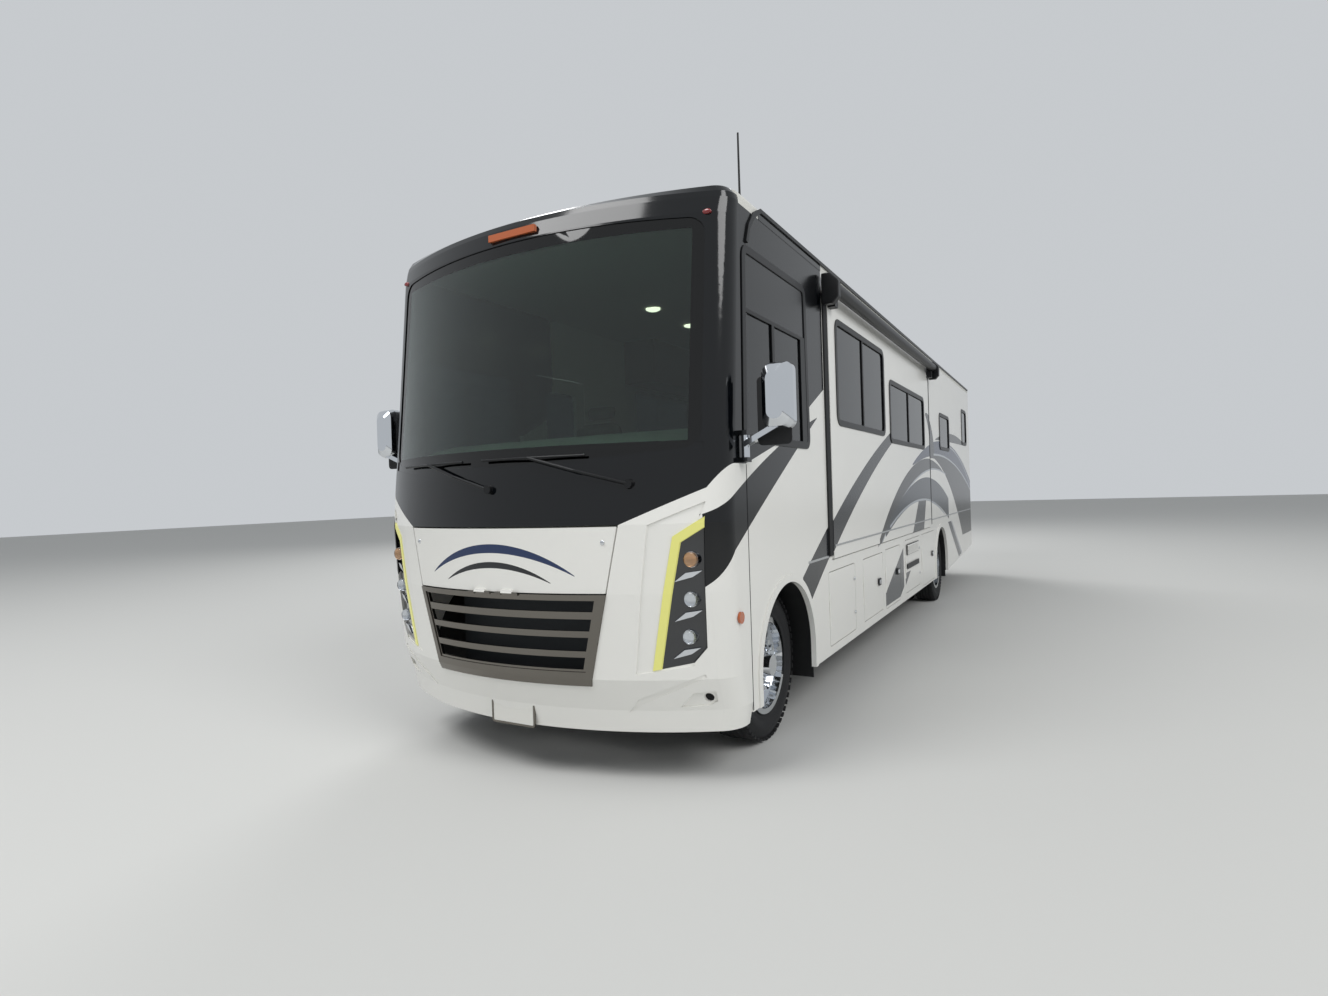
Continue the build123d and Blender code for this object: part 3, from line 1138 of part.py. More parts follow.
# Cabinets
galley = block(*GALLEY, -inner_y + FIT, GALLEY_INNER_Y, FLOOR_TOP, GALLEY_TOP)
cupboards = block(*GALLEY, -inner_y + FIT, CUPBOARD_INNER_Y, CUPBOARD_BOTTOM, WALL_TOP)
partition = block(*PARTITION, -inner_y + FIT, inner_y - FIT, FLOOR_TOP, WALL_TOP)
partition -= block(PARTITION[1] - 60, PARTITION[0] + 60, -DOORWAY_HALF, DOORWAY_HALF, FLOOR_TOP - 1, DOORWAY_TOP)
save("interior_cabinets", group([galley, cupboards, partition]))

# Mirrors
left_mirror = mirror_piece()
save("mirror_left", left_mirror)
save("mirror_right", mirrored(left_mirror))

# Wipers: boss, bent arm and blade
wipers = []
for pivot, tip in WIPERS:
    middle = ((pivot[0] + tip[0]) / 2, (pivot[1] + tip[1]) / 2)
    foot = (cap_x(*pivot) + 16, *pivot)
    knee = (cap_x(*middle) + WIPER_LIFT, *middle)
    head = (cap_x(*tip) + WIPER_LIFT, *tip)
    boss = tube_x(foot[0] - 60, foot[0] + 11, *pivot, WIPER_BOSS_RADIUS) - cap_solid(-FIT, 1430, 1840)
    arm = rod(foot, knee, WIPER_ARM_RADIUS) + Pos(*knee) * Sphere(WIPER_ARM_RADIUS)
    arm += rod(knee, head, WIPER_ARM_RADIUS)
    for end in (1, -1):
        blade_y = tip[0] + end * WIPER_BLADE / 2
        arm += rod(head, (cap_x(blade_y, tip[1]) + BLADE_LIFT, blade_y, tip[1]), BLADE_RADIUS)
    wipers.append(boss + arm)
save("wipers", group(wipers))

# Roof units and antenna
units = [roof_unit(x, sections) - roof for x, sections in ROOF_UNITS]
antenna = Pos(*ANTENNA, roof_top + 15) * Cylinder(ANTENNA_BASE_RADIUS, 60)
antenna += Pos(*ANTENNA, roof_top + ANTENNA_HEIGHT / 2 + 15) * Cylinder(ANTENNA_RADIUS, ANTENNA_HEIGHT - 30)
units.append(antenna - roof)
save("roof_units", group(units))

# Patio awning on the passenger's side
side = -HALF_WIDTH
awning = tube_x(AWNING_REAR, AWNING_FRONT, side - AWNING_OUT, AWNING_Z, AWNING_RADIUS)
for x in (AWNING_REAR, AWNING_FRONT - 50):
    awning += block(x, x + 50, side - AWNING_OUT - 60, side, AWNING_Z - 65, AWNING_Z + 75)
    awning += block(x, x + AWNING_ARM, side - AWNING_ARM, side, AWNING_ARM_FOOT, AWNING_Z - 60)
save("patio_awning", awning)

# Ladder and tail lamps
ladder = Part()
for y in (LADDER_Y - LADDER_HALF, LADDER_Y + LADDER_HALF):
    ladder += Pos(LADDER_X, y, (LADDER_FOOT + LADDER_TOP) / 2) * Cylinder(LADDER_RADIUS, LADDER_TOP - LADDER_FOOT)
    for z in LADDER_FEET:
        ladder += tube_x(LADDER_X, REAR_X, y, z, RUNG_RADIUS)
for rung in range(RUNGS):
    height = LADDER_FEET[0] + RUNG_STEP * rung
    ladder += tube_y(LADDER_X, LADDER_Y - LADDER_HALF, LADDER_Y + LADDER_HALF, height, RUNG_RADIUS)
save("ladder", ladder)
lamp_y0, lamp_y1, lamp_z0, lamp_z1 = TAIL_LAMP
tail = block(REAR_X - TAIL_LAMP_PROUD, REAR_X, lamp_y0, lamp_y1, lamp_z0, lamp_z1)
save("tail_lamps", group([tail, mirrored(tail)]))
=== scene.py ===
# %% [markdown]
# A coach like this is a box of laminated panels on a truck chassis. The frame gives every rigid piece
# its shape and place, so this lesson adds what the frame leaves out: paint, glass, rubber, chrome,
# soft seats and the small fittings, each one riding on the body that carries it.

# %% Load the frame
import json
import math

import bmesh
import bpy
from mathutils import Matrix, Vector
from mathutils.bvhtree import BVHTree


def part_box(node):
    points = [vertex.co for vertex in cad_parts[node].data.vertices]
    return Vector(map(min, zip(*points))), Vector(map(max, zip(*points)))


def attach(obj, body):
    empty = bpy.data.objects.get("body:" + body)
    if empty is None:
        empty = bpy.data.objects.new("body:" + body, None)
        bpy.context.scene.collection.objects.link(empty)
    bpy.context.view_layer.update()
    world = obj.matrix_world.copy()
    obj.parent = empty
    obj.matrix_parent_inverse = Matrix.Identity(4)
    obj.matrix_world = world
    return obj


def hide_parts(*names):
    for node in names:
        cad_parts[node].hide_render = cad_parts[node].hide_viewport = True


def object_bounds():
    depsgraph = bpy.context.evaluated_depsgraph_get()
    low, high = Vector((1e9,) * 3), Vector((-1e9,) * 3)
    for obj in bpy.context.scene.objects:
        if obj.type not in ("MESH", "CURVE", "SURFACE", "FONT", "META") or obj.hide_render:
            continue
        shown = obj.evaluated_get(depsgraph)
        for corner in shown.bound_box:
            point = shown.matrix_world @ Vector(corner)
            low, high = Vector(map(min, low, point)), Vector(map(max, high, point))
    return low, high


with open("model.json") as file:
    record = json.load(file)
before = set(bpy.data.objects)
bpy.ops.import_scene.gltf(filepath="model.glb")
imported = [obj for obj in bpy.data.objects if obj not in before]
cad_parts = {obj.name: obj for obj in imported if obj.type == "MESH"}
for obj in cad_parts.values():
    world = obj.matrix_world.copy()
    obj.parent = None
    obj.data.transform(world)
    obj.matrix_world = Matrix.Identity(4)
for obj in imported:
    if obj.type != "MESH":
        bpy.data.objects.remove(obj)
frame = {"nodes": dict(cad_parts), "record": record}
nodes = frame["nodes"]
cad_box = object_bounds()
print("coach length", round(cad_box[1].x - cad_box[0].x, 3), "nodes", len(nodes))

# %% [markdown]
# The front wheels' axle is where a coach builder measures from. Its place is read from the front
# tyre's box, and every station below is a distance ahead of it.

# %% Stations
tyre_low, tyre_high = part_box("tyre_front_left")
AXLE_X = (tyre_low.x + tyre_high.x) / 2
AXLE_Z = (tyre_low.z + tyre_high.z) / 2
TYRE_RADIUS = (tyre_high.z - tyre_low.z) / 2
TYRE_WIDTH = tyre_high.y - tyre_low.y
SIDE_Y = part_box("left_wall")[1].y
SLIDE_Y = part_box("slide_wall")[1].y
REAR_AXLE = -6.147


def station(ahead):
    """X of a place given by its distance ahead of the front axle."""
    return AXLE_X + ahead


def stations(outline):
    """A side-view outline with its places ahead of the axle turned into X."""
    return [(station(x), z) for x, z in outline]


print("axle at", round(AXLE_X, 3), round(AXLE_Z, 3), "side at", round(SIDE_Y, 3))

# %% [markdown]
# Paint charts give colours as sRGB hex values, but Blender's sockets take linear light. One function
# turns them. Another adds a node with its settings and whatever feeds its sockets, and a third gives
# the result of a Math node, because masks are made of many of those.

# %% Colour and node helpers


def linear(colour):
    """An sRGB hex colour as linear red, green, blue and alpha."""
    parts = [int(colour[i:i + 2], 16) / 255 for i in (1, 3, 5)]
    return (*[c / 12.92 if c <= 0.04045 else ((c + 0.055) / 1.055) ** 2.4 for c in parts], 1.0)


def add(tree, kind, feeds=None, **settings):
    """One node: its settings, then values or links for its sockets."""
    node = tree.nodes.new(kind if kind.startswith(("Geometry", "Node")) else "ShaderNode" + kind)
    for name, value in settings.items():
        setattr(node, name, value)
    for socket, value in (feeds or {}).items():
        if isinstance(value, bpy.types.NodeSocket):
            tree.links.new(value, node.inputs[socket])
        else:
            node.inputs[socket].default_value = value
    return node


def reckon(tree, operation, *values, **settings):
    """What a Math node makes of one or two values."""
    return add(tree, "Math", dict(enumerate(values)), operation=operation, **settings).outputs[0]


# %% [markdown]
# No real surface is even. A wide, soft noise shifts the colour a little, as sun and dirt do, and a fine
# one varies the gloss and raises a relief. Its grain is the size of the real surface's own grain: 9 mm
# for the waves of sprayed gelcoat, 2 mm for moulded plastic.

# %% A finish
MILLIMETRE = 0.001
CLOUD_SCALE = 1.7
GLOSS_SPREAD = 0.15
RELIEF_SHARE = 0.2


def finish(name, colour, roughness, metallic, mottle, grain, relief, paint=None, **sockets):
    """A material with slightly uneven colour and gloss, and a relief with its grain in millimetres."""
    material = bpy.data.materials.new(name)
    material.use_nodes = True
    tree = material.node_tree
    tree.nodes.clear()
    size = grain * MILLIMETRE
    place = add(tree, "TexCoord").outputs["Object"]
    cloud = add(tree, "TexNoise", {"Vector": place, "Scale": CLOUD_SCALE, "Detail": 3.0}).outputs[0]
    fine = add(tree, "TexNoise", {"Vector": place, "Scale": 1 / size, "Detail": 2.0}).outputs[0]
    value = add(tree, "MapRange", {0: cloud, 3: 1 - mottle, 4: 1 + mottle}).outputs[0]
    base = paint(tree, place) if paint else linear(colour)
    tinted = add(tree, "HueSaturation", {"Color": base, "Value": value}).outputs[0]
    smooth, rough = roughness * (1 - GLOSS_SPREAD), min(1.0, roughness * (1 + GLOSS_SPREAD))
    gloss = add(tree, "MapRange", {0: fine, 3: smooth, 4: rough}).outputs[0]
    depth = size * RELIEF_SHARE
    bump = add(tree, "Bump", {"Height": fine, "Strength": relief, "Distance": depth}).outputs[0]
    feeds = {"Base Color": tinted, "Roughness": gloss, "Normal": bump, "Metallic": metallic}
    shader = add(tree, "BsdfPrincipled", feeds)
    for socket, amount in sockets.items():
        shader.inputs[socket.replace("_", " ")].default_value = amount
    add(tree, "OutputMaterial", {"Surface": shader.outputs[0]})
    return material


# %% [markdown]
# The sweeps along the sides are vinyl under clear coat, cut as long crescents. Each crescent lies
# between two circles through three points of its edges, so the shader needs only distances: a point
# is painted where it is above the lower circle and below the upper one. The rows hold places ahead of
# the axle and heights, in metres, and the same rule paints both sides of the coach.

# %% The sweeps' places
BLACK, CHARCOAL, SLATE, SILVER = "#05070A", "#232529", "#2C3650", "#A9AEB4"
DARK_SLATE, GREY = "#262E3A", "#46494D"
# colour, lowest height, upper edge's three points, lower edge's three points
SWEEPS = [
    (SLATE, 0,
     (-4.15, 1.83), (-6.4, 2.19), (-9.54, 1.64), (-4.15, 1.81), (-6.2, 1.97), (-9.54, 1.40)),
    (CHARCOAL, 1.93,
     (-5.05, 2.475), (-5.60, 2.30), (-5.78, 1.93), (-5.10, 2.42), (-5.27, 2.25), (-5.31, 1.93)),
    (BLACK, 0.75,
     (-5.75, 1.97), (-7.5, 1.89), (-9.54, 1.46), (-5.75, 1.93), (-7.0, 1.59), (-8.0, 1.03)),
    (SILVER, 0,
     (-5.7, 1.995), (-7.5, 1.915), (-9.54, 1.49), (-5.7, 1.97), (-7.5, 1.89), (-9.54, 1.46)),
    (SILVER, 0,
     (-6.9, 2.16), (-8.2, 2.0), (-9.54, 1.56), (-6.9, 2.14), (-8.2, 1.98), (-9.54, 1.54)),
    (CHARCOAL, 0,
     (-2.45, 1.10), (-5.3, 1.915), (-7.0, 1.60), (-2.5, 1.05), (-4.3, 1.66), (-6.7, 1.74)),
    (SILVER, 0,
     (-2.5, 1.05), (-4.3, 1.66), (-6.7, 1.74), (-2.5, 1.03), (-4.3, 1.64), (-6.7, 1.72)),
    (DARK_SLATE, 0,
     (-2.7, 1.15), (-4.6, 1.66), (-6.9, 1.38), (-2.7, 1.10), (-4.6, 1.41), (-6.9, 1.08)),
    (SILVER, 0,
     (-2.9, 1.20), (-4.6, 1.425), (-6.5, 1.185), (-2.9, 1.175), (-4.6, 1.40), (-6.5, 1.16)),
    (BLACK, 0,
     (-5.85, 2.19), (-7.4, 2.345), (-8.95, 2.24), (-5.85, 2.185), (-7.4, 2.215), (-8.95, 2.225)),
    (CHARCOAL, 0,
     (-0.286, 1.0), (-1.6, 1.62), (-3.15, 2.15), (-0.486, 0.843), (-1.8, 1.52), (-3.2, 2.05)),
    (SILVER, 0,
     (-1.06, 1.28), (-1.33, 1.44), (-1.6, 1.60), (-1.06, 1.265), (-1.33, 1.425), (-1.6, 1.585)),
    (BLACK, 0,
     (0.80, 1.57), (0.1, 1.855), (-0.69, 2.09), (0.80, 1.275), (0.0, 1.72), (-0.69, 2.085)),
]
# colour, outline points
BANDS = [
    (BLACK, [(0.80, 1.57), (0.965, 1.475), (0.965, 1.08), (0.80, 1.275)]),
    (BLACK, [(0.62, 1.74), (0.057, 1.885), (-0.87, 2.31), (-0.87, 3.3), (0.62, 3.3)]),
    (GREY, [(-4.05, 1.05), (-4.45, 1.40), (-4.95, 1.40), (-4.75, 1.05)]),
    (GREY, [(-3.57, 0.93), (-2.70, 0.565), (-2.70, 0.44), (-3.36, 0.44), (-3.57, 0.52)]),
    (GREY, [(-3.65, 0.65), (-3.95, 0.65), (-3.65, 0.52)]),
    (DARK_SLATE, [(-6.80, 1.04), (-7.10, 1.04), (-8.15, 0.47), (-7.85, 0.44)]),
    (SILVER, [(-7.12, 1.04), (-7.18, 1.04), (-8.22, 0.49), (-8.16, 0.47)]),
]
ARCH_LIP = 0.545
ARCH_Z = 0.515
print("sweeps", len(SWEEPS), "bands", len(BANDS))

# %% [markdown]
# A mask is 1 where vinyl lies and 0 elsewhere. Products of masks keep what lies in all of them, so a
# crescent is two arcs and three cuts, and a convex band is the product of its edges' half planes.

# %% Masks


def circle_through(a, b, c):
    """Centre and radius of the circle through three points of the flat view."""
    (ax, az), (bx, bz), (cx, cz) = a, b, c
    d = 2 * (ax * (bz - cz) + bx * (cz - az) + cx * (az - bz))
    a2, b2, c2 = ax * ax + az * az, bx * bx + bz * bz, cx * cx + cz * cz
    ux = (a2 * (bz - cz) + b2 * (cz - az) + c2 * (az - bz)) / d
    uz = (a2 * (cx - bx) + b2 * (ax - cx) + c2 * (bx - ax)) / d
    return (ux, uz), math.hypot(ax - ux, az - uz)


def reach_from(tree, flat, centre):
    """Distance of each point from a centre in the flat view."""
    feeds = {0: flat, 1: (centre[0], 0, centre[1])}
    return add(tree, "VectorMath", feeds, operation="DISTANCE").outputs["Value"]


def above_arc(tree, flat, points):
    """1 above the arc through three points, 0 below it."""
    centre, radius = circle_through(*points)
    side = "GREATER_THAN" if centre[1] < points[1][1] else "LESS_THAN"
    return reckon(tree, side, reach_from(tree, flat, centre), radius)


def crescent(tree, flat, upper, lower, lowest=0):
    """1 between two arcs, from the upper arc's first point to its last, above the lowest height."""
    over, under = above_arc(tree, flat, upper), above_arc(tree, flat, lower)
    mask = reckon(tree, "SUBTRACT", under, over, use_clamp=True)
    split = add(tree, "SeparateXYZ", {0: flat}).outputs
    start, end = sorted((upper[0][0], upper[2][0]))
    cuts = ((0, start, "GREATER_THAN"), (0, end, "LESS_THAN"), (2, lowest, "GREATER_THAN"))
    for socket, limit, side in cuts:
        mask = reckon(tree, "MULTIPLY", mask, reckon(tree, side, split[socket], limit))
    return mask


def inside_outline(tree, flat, points):
    """1 inside a convex outline, as a product of its edges' half planes."""
    area = sum(x0 * z1 - x1 * z0 for (x0, z0), (x1, z1) in zip(points, points[1:] + points[:1]))
    points = points if area > 0 else points[::-1]
    mask = 1.0
    for (x0, z0), (x1, z1) in zip(points, points[1:] + points[:1]):
        normal = (-(z1 - z0), 0, x1 - x0)
        limit = normal[0] * x0 + normal[2] * z0
        along = add(tree, "VectorMath", {0: flat, 1: normal}, operation="DOT_PRODUCT").outputs["Value"]
        mask = reckon(tree, "MULTIPLY", mask, reckon(tree, "GREATER_THAN", along, limit))
    return mask


# %% [markdown]
# Each colour is laid over the ones before it, as the sign maker lays vinyl. The lips of the wheel
# arches come last, because they are painted after the vinyl is trimmed.

# %% Striped gelcoat
WHITE_GEL = "#E9E8E3"


def layer(tree, under, colour, mask):
    """One colour of vinyl laid over what is below it."""
    return add(tree, "Mix", {0: mask, 6: under, 7: linear(colour)}, data_type="RGBA").outputs[2]


def striped(tree, place):
    """White gelcoat with the coach's sweeps and bands, and white lips round the wheel arches."""
    flat = add(tree, "VectorMath", {0: place, 1: (1, 0, 1)}, operation="MULTIPLY").outputs[0]
    colour = linear(WHITE_GEL)
    for tint, lowest, *points in SWEEPS:
        upper, lower = stations(points[:3]), stations(points[3:])
        colour = layer(tree, colour, tint, crescent(tree, flat, upper, lower, lowest))
    for tint, outline in BANDS:
        colour = layer(tree, colour, tint, inside_outline(tree, flat, stations(outline)))
    for axle in (0, REAR_AXLE):
        reach = reach_from(tree, flat, (station(axle), ARCH_Z))
        colour = layer(tree, colour, WHITE_GEL, reckon(tree, "LESS_THAN", reach, ARCH_LIP))
    return colour


# %% [markdown]
# The hood carries a plain badge of two slim crescents, seen from the front, so its flat view keeps
# the coach's width instead of its length. The windscreen's edge is a fired black enamel border, which
# hides the glue: here the glass turns black by position, so light stops where the real border is.

# %% Badge and glass border
NAVY, ENAMEL = "#1F3157", "#020303"
BADGE = [
    (NAVY, (-0.52, 1.165), (0, 1.335), (0.52, 1.165), (-0.53, 1.155), (0, 1.285), (0.53, 1.155)),
    (CHARCOAL, (-0.38, 1.125), (0, 1.235), (0.38, 1.125), (-0.39, 1.117), (0, 1.20), (0.39, 1.117)),
]
GLASS_TINT = "#97ADA5"
BORDER = {"half_width": 1.085, "bottom": 1.865, "top": 3.02}


def badged(tree, place):
    """White gelcoat with the badge on the hood."""
    split = add(tree, "SeparateXYZ", {0: place}).outputs
    front_view = add(tree, "CombineXYZ", {0: split[1], 2: split[2]}).outputs[0]
    colour = linear(WHITE_GEL)
    for tint, *points in BADGE:
        colour = layer(tree, colour, tint, crescent(tree, front_view, points[:3], points[3:]))
    return colour


def bordered(tree, place):
    """Tinted glass with its black enamel border."""
    split = add(tree, "SeparateXYZ", {0: place}).outputs
    width = reckon(tree, "ABSOLUTE", split[1])
    colour = linear(GLASS_TINT)
    edges = ((width, "half_width", "GREATER_THAN"), (split[2], "bottom", "LESS_THAN"),
             (split[2], "top", "GREATER_THAN"))
    for value, edge, side in edges:
        colour = layer(tree, colour, ENAMEL, reckon(tree, side, value, BORDER[edge]))
    return colour


# %% [markdown]
# Every finish is named for what the real piece is made of, and its numbers follow from how that is
# made, save the galvanised steel, whose grey is darkened as painted shade. A polished mould gives
# gelcoat its gloss, a steel die gives plastic its grain, and plating gives chrome a mirror. Lamps that
# burn give light through their lens.

# %% Finishes
GELCOAT = (WHITE_GEL, 0.20, 0, 0.015, 9, 0.03)
LENS_COAT = {"Coat_Weight": 1.0}
# name, colour, roughness, metallic, mottle, grain in millimetres, relief, other sockets
FINISHES = [
    # shells: glossy, with the faint waves of orange peel, so a highlight's edge is a little soft
    ("white_gelcoat", *GELCOAT, {}),
    ("black_gelcoat", BLACK, 0.10, 0, 0.05, 9, 0.02, {}),
    ("laminated_slide_panel", "#D5D4CE", 0.4, 0, 0.02, 6, 0.1, {}),
    # chassis: dull, with a rough skin that breaks a highlight up
    ("satin_chassis_paint", "#1A1B1D", 0.55, 0, 0.15, 6, 0.2, {}),
    ("cast_iron", "#3B3C3E", 0.75, 0.6, 0.2, 3, 0.5, {}),
    # galvanised steel, darker than its own grey: painted shade, so the space behind the grille looks dark
    ("galvanised_steel_with_painted_shade", "#303336", 0.6, 0.5, 0.2, 12, 0.1, {}),
    # boards and mouldings: a broad, weak sheen over a fine grain
    ("laminated_plywood", "#5C5348", 0.6, 0, 0.1, 5, 0.1, {}),
    ("rotomoulded_polyethylene", "#1D1E20", 0.6, 0, 0.1, 2, 0.3, {}),
    ("white_roof_membrane", "#DCDBD5", 0.6, 0, 0.05, 3, 0.3, {}),
    ("moulded_black_abs", "#101113", 0.5, 0, 0.1, 1.5, 0.3, {}),
    ("ribbed_shroud_plastic", "#D8D7D1", 0.45, 0, 0.03, 2, 0.3, {}),
    # bright metal: all of its colour is reflection, from mirror to brushed
    ("dark_satin_chrome", "#79756F", 0.18, 1, 0.05, 5, 0.03, {}),
    ("polished_chrome", "#D9DCE0", 0.07, 1, 0.03, 6, 0.01, {}),
    ("silvered_mirror", "#E4E8EA", 0.02, 1, 0, 9, 0, {}),
    ("bright_ladder_aluminium", "#B9BCBF", 0.3, 1, 0.04, 2, 0.1, {}),
    ("bright_anodised_trim", "#C6C8CA", 0.25, 1, 0.03, 3, 0.05, {}),
    # lamps: a hard clear coat over deep colour, and lenses that bend what lies behind them
    ("smoked_lamp_bezel", "#1C1E22", 0.18, 0, 0.1, 8, 0.02, LENS_COAT),
    ("vapour_chromed_reflector", "#DADDE2", 0.12, 1, 0.05, 6, 0.05, {}),
    ("amber_polycarbonate", "#B4561C", 0.15, 0, 0.05, 4, 0.2, LENS_COAT),
    ("red_polycarbonate", "#7C0E10", 0.15, 0, 0.05, 4, 0.2, LENS_COAT),
    ("clear_polycarbonate", "#F2F4F5", 0.04, 0, 0, 5, 0.05,
     {"Transmission_Weight": 1.0, "IOR": 1.58}),
    ("amber_lens_polycarbonate", "#E3B183", 0.06, 0, 0, 5, 0.05,
     {"Transmission_Weight": 0.9, "IOR": 1.58}),
    ("lit_light_pipe", "#B9B766", 0.25, 0, 0.02, 3, 0.05,
     {"Emission_Color": linear("#DBDA85"), "Emission_Strength": 0.4}),
    ("lit_ceiling_diffuser", "#F4F1E6", 0.4, 0, 0, 3, 0.05,
     {"Emission_Color": linear("#FFF6DE"), "Emission_Strength": 3.0}),
    # dark fittings: powder coat still shows a highlight, rubber swallows it
    ("satin_black_steel", "#111214", 0.38, 0.3, 0.1, 4, 0.1, {}),
    ("extruded_rubber_seal", "#121315", 0.7, 0, 0.08, 2, 0.3, {}),
    ("carbon_black_rubber", "#17181A", 0.82, 0, 0.15, 1.5, 0.5, {}),
    # cab: the pressed grain of vinyl and leather, and a printed wood under thin lacquer
    ("grained_dash_vinyl", "#B7BCAE", 0.55, 0, 0.05, 2, 0.5, {}),
    ("stitched_leather", "#6E675E", 0.5, 0, 0.08, 2.5, 0.6, {}),
    ("leather_grained_rim", "#161616", 0.5, 0, 0.05, 2, 0.5, {}),
    ("walnut_laminate", "#5A402C", 0.4, 0, 0.2, 20, 0.05, {}),
    # side glass: dark in the mass, so the inside shows only near it
    ("privacy_glass", "#20262B", 0.03, 0, 0, 30, 0, {"Transmission_Weight": 0.85, "IOR": 1.5}),
]
made = {name: finish(name, *look, **sockets) for name, *look, sockets in FINISHES}
for name, paint in (("striped_gelcoat", striped), ("badged_gelcoat", badged)):
    made[name] = finish(name, *GELCOAT, paint)
made["laminated_windscreen"] = finish(
    "laminated_windscreen", GLASS_TINT, 0.02, 0, 0, 30, 0, bordered, Transmission_Weight=1.0, IOR=1.5)
print("finishes", len(made))

# %% [markdown]
# The record names a material slot for each node. This table turns each slot into its finish, and the
# pieces that the sweeps cross get the striped one.

# %% Finishes on the frame's nodes
SLOT_FINISH = {
    "chassis_paint": "satin_chassis_paint", "axle_iron": "satin_chassis_paint",
    "engine_iron": "cast_iron", "spring_steel": "cast_iron", "underfloor_steel": "galvanised_steel_with_painted_shade",
    "floor_board": "laminated_plywood", "bay_plastic": "rotomoulded_polyethylene",
    "white_gelcoat": "white_gelcoat", "black_gelcoat": "black_gelcoat",
    "slide_white": "laminated_slide_panel", "roof_membrane": "white_roof_membrane",
    "liner_black": "moulded_black_abs", "shroud_white": "ribbed_shroud_plastic",
    "clear_glass": "laminated_windscreen", "tinted_glass": "privacy_glass",
    "pewter_chrome": "dark_satin_chrome", "wheel_chrome": "polished_chrome",
    "mirror_chrome": "polished_chrome", "ladder_aluminium": "bright_ladder_aluminium",
    "lamp_black": "smoked_lamp_bezel", "lamp_lens": "vapour_chromed_reflector",
    "amber_lens": "amber_polycarbonate", "red_lens": "red_polycarbonate",
    "running_light": "lit_light_pipe", "awning_black": "satin_black_steel",
    "wiper_black": "satin_black_steel", "tyre_rubber": "carbon_black_rubber",
    "dash_vinyl": "grained_dash_vinyl", "seat_leather": "stitched_leather",
    "cabinet_wood": "walnut_laminate", "steering_black": "leather_grained_rim",
}
STRIPED_STARTS = ("side_skirts", "left_wall", "right_wall", "rear_wall", "slide_wall", "front_fascia",
                  "entry_door", "bay_door")
for part in frame["record"]["subparts"]:
    node = nodes[part["node"]]
    chosen = made[SLOT_FINISH[part["material_slot"]]]
    if part["node"].startswith(STRIPED_STARTS) and not part["node"].endswith("glass"):
        chosen = made["striped_gelcoat"]
    if part["node"] == "hood_panel":
        chosen = made["badged_gelcoat"]
    if not node.data.materials:
        node.data.materials.append(chosen)
    for place in node.material_slots:
        place.material = chosen

# %% [markdown]
# Small pieces are meshes with their place in their vertices. One helper makes the object and turns its
# faces outwards, one lets it ride on its body, and one turns what modifiers make into a plain mesh.

# %% Pieces
SAME_PLACE = 1e-6
STEEL, SEAL, RUBBER = "satin_black_steel", "extruded_rubber_seal", "carbon_black_rubber"


def in_scene(name, data):
    """An object that shows some data, linked into the scene."""
    obj = bpy.data.objects.new(name, data)
    bpy.context.scene.collection.objects.link(obj)
    return obj


def shaped(name, points, faces, material, smooth=False, bevel=0.0):
    """An object with a closed mesh, its faces turned outwards."""
    mesh = bpy.data.meshes.new(name)
    mesh.from_pydata([tuple(p) for p in points], [], faces)
    shape = bmesh.new()
    shape.from_mesh(mesh)
    bmesh.ops.remove_doubles(shape, verts=shape.verts, dist=SAME_PLACE)
    bmesh.ops.recalc_face_normals(shape, faces=shape.faces)
    shape.to_mesh(mesh)
    shape.free()
    mesh.materials.append(made[material])
    for face in mesh.polygons:
        face.use_smooth = smooth
    obj = in_scene(name, mesh)
    if bevel:
        edge = obj.modifiers.new("edge", "BEVEL")
        edge.width, edge.segments, edge.limit_method = bevel, 2, "ANGLE"
    return obj


def piece(name, points, faces, material, body, smooth=False, bevel=0.0, slot=None):
    """A mesh piece that rides on a body."""
    obj = shaped(name, points, faces, material, smooth, bevel)
    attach(obj, body)
    return obj


def frozen(obj):
    """The object with what its modifiers make as its plain mesh."""
    result = bpy.data.meshes.new_from_object(obj.evaluated_get(bpy.context.evaluated_depsgraph_get()))
    obj.modifiers.clear()
    obj.data = result
    return obj


# %% [markdown]
# Outlines are lists of points in a flat view. A corner is rounded by a curve, as a router would cut
# it, and an outline grows by moving each corner along the middle of its two edges.

# %% Outlines
CORNER_STEPS = 5


def box_outline(x0, x1, z0, z1):
    """Plain rectangle, as four points."""
    return [(x0, z0), (x1, z0), (x1, z1), (x0, z1)]


def softened(outline, radius):
    """A convex outline with each corner rounded by a curve that starts a radius from it."""
    points = []
    for n, corner in enumerate(outline):
        before, after = Vector(outline[n - 1]), Vector(outline[(n + 1) % len(outline)])
        middle = Vector(corner)
        start = middle + (before - middle).normalized() * radius
        end = middle + (after - middle).normalized() * radius
        for step in range(CORNER_STEPS + 1):
            t = step / CORNER_STEPS
            points.append(tuple(start * (1 - t) ** 2 + middle * 2 * t * (1 - t) + end * t ** 2))
    return points


def rounded(x0, x1, z0, z1, radius):
    """Rounded rectangle of a flat view."""
    return softened(box_outline(x0, x1, z0, z1), radius)


def circle(u, v, radius, steps, squash=1.0):
    """Points round a circle of a flat view, or round an oval where it is squashed."""
    turns = [2 * math.pi * n / steps for n in range(steps)]
    return [(u + radius * math.cos(a), v + radius * squash * math.sin(a)) for a in turns]


def grown(outline, by):
    """A closed outline that runs counter-clockwise, moved outwards by a distance."""
    moved = []
    for n, corner in enumerate(outline):
        middle, after = Vector(corner), Vector(outline[(n + 1) % len(outline)])
        first, second = (middle - Vector(outline[n - 1])).normalized(), (after - middle).normalized()
        first, second = Vector((first.y, -first.x)), Vector((second.y, -second.x))
        moved.append(tuple(middle + (first + second) * by / (1 + first.dot(second))))
    return moved


# %% [markdown]
# Most fittings are loops of points joined by quads: a ring closes on itself, and a plate or a lamp's
# cap is a stack of loops with both ends closed.

# %% Rings, plates and caps
DOME_STEPS = 24
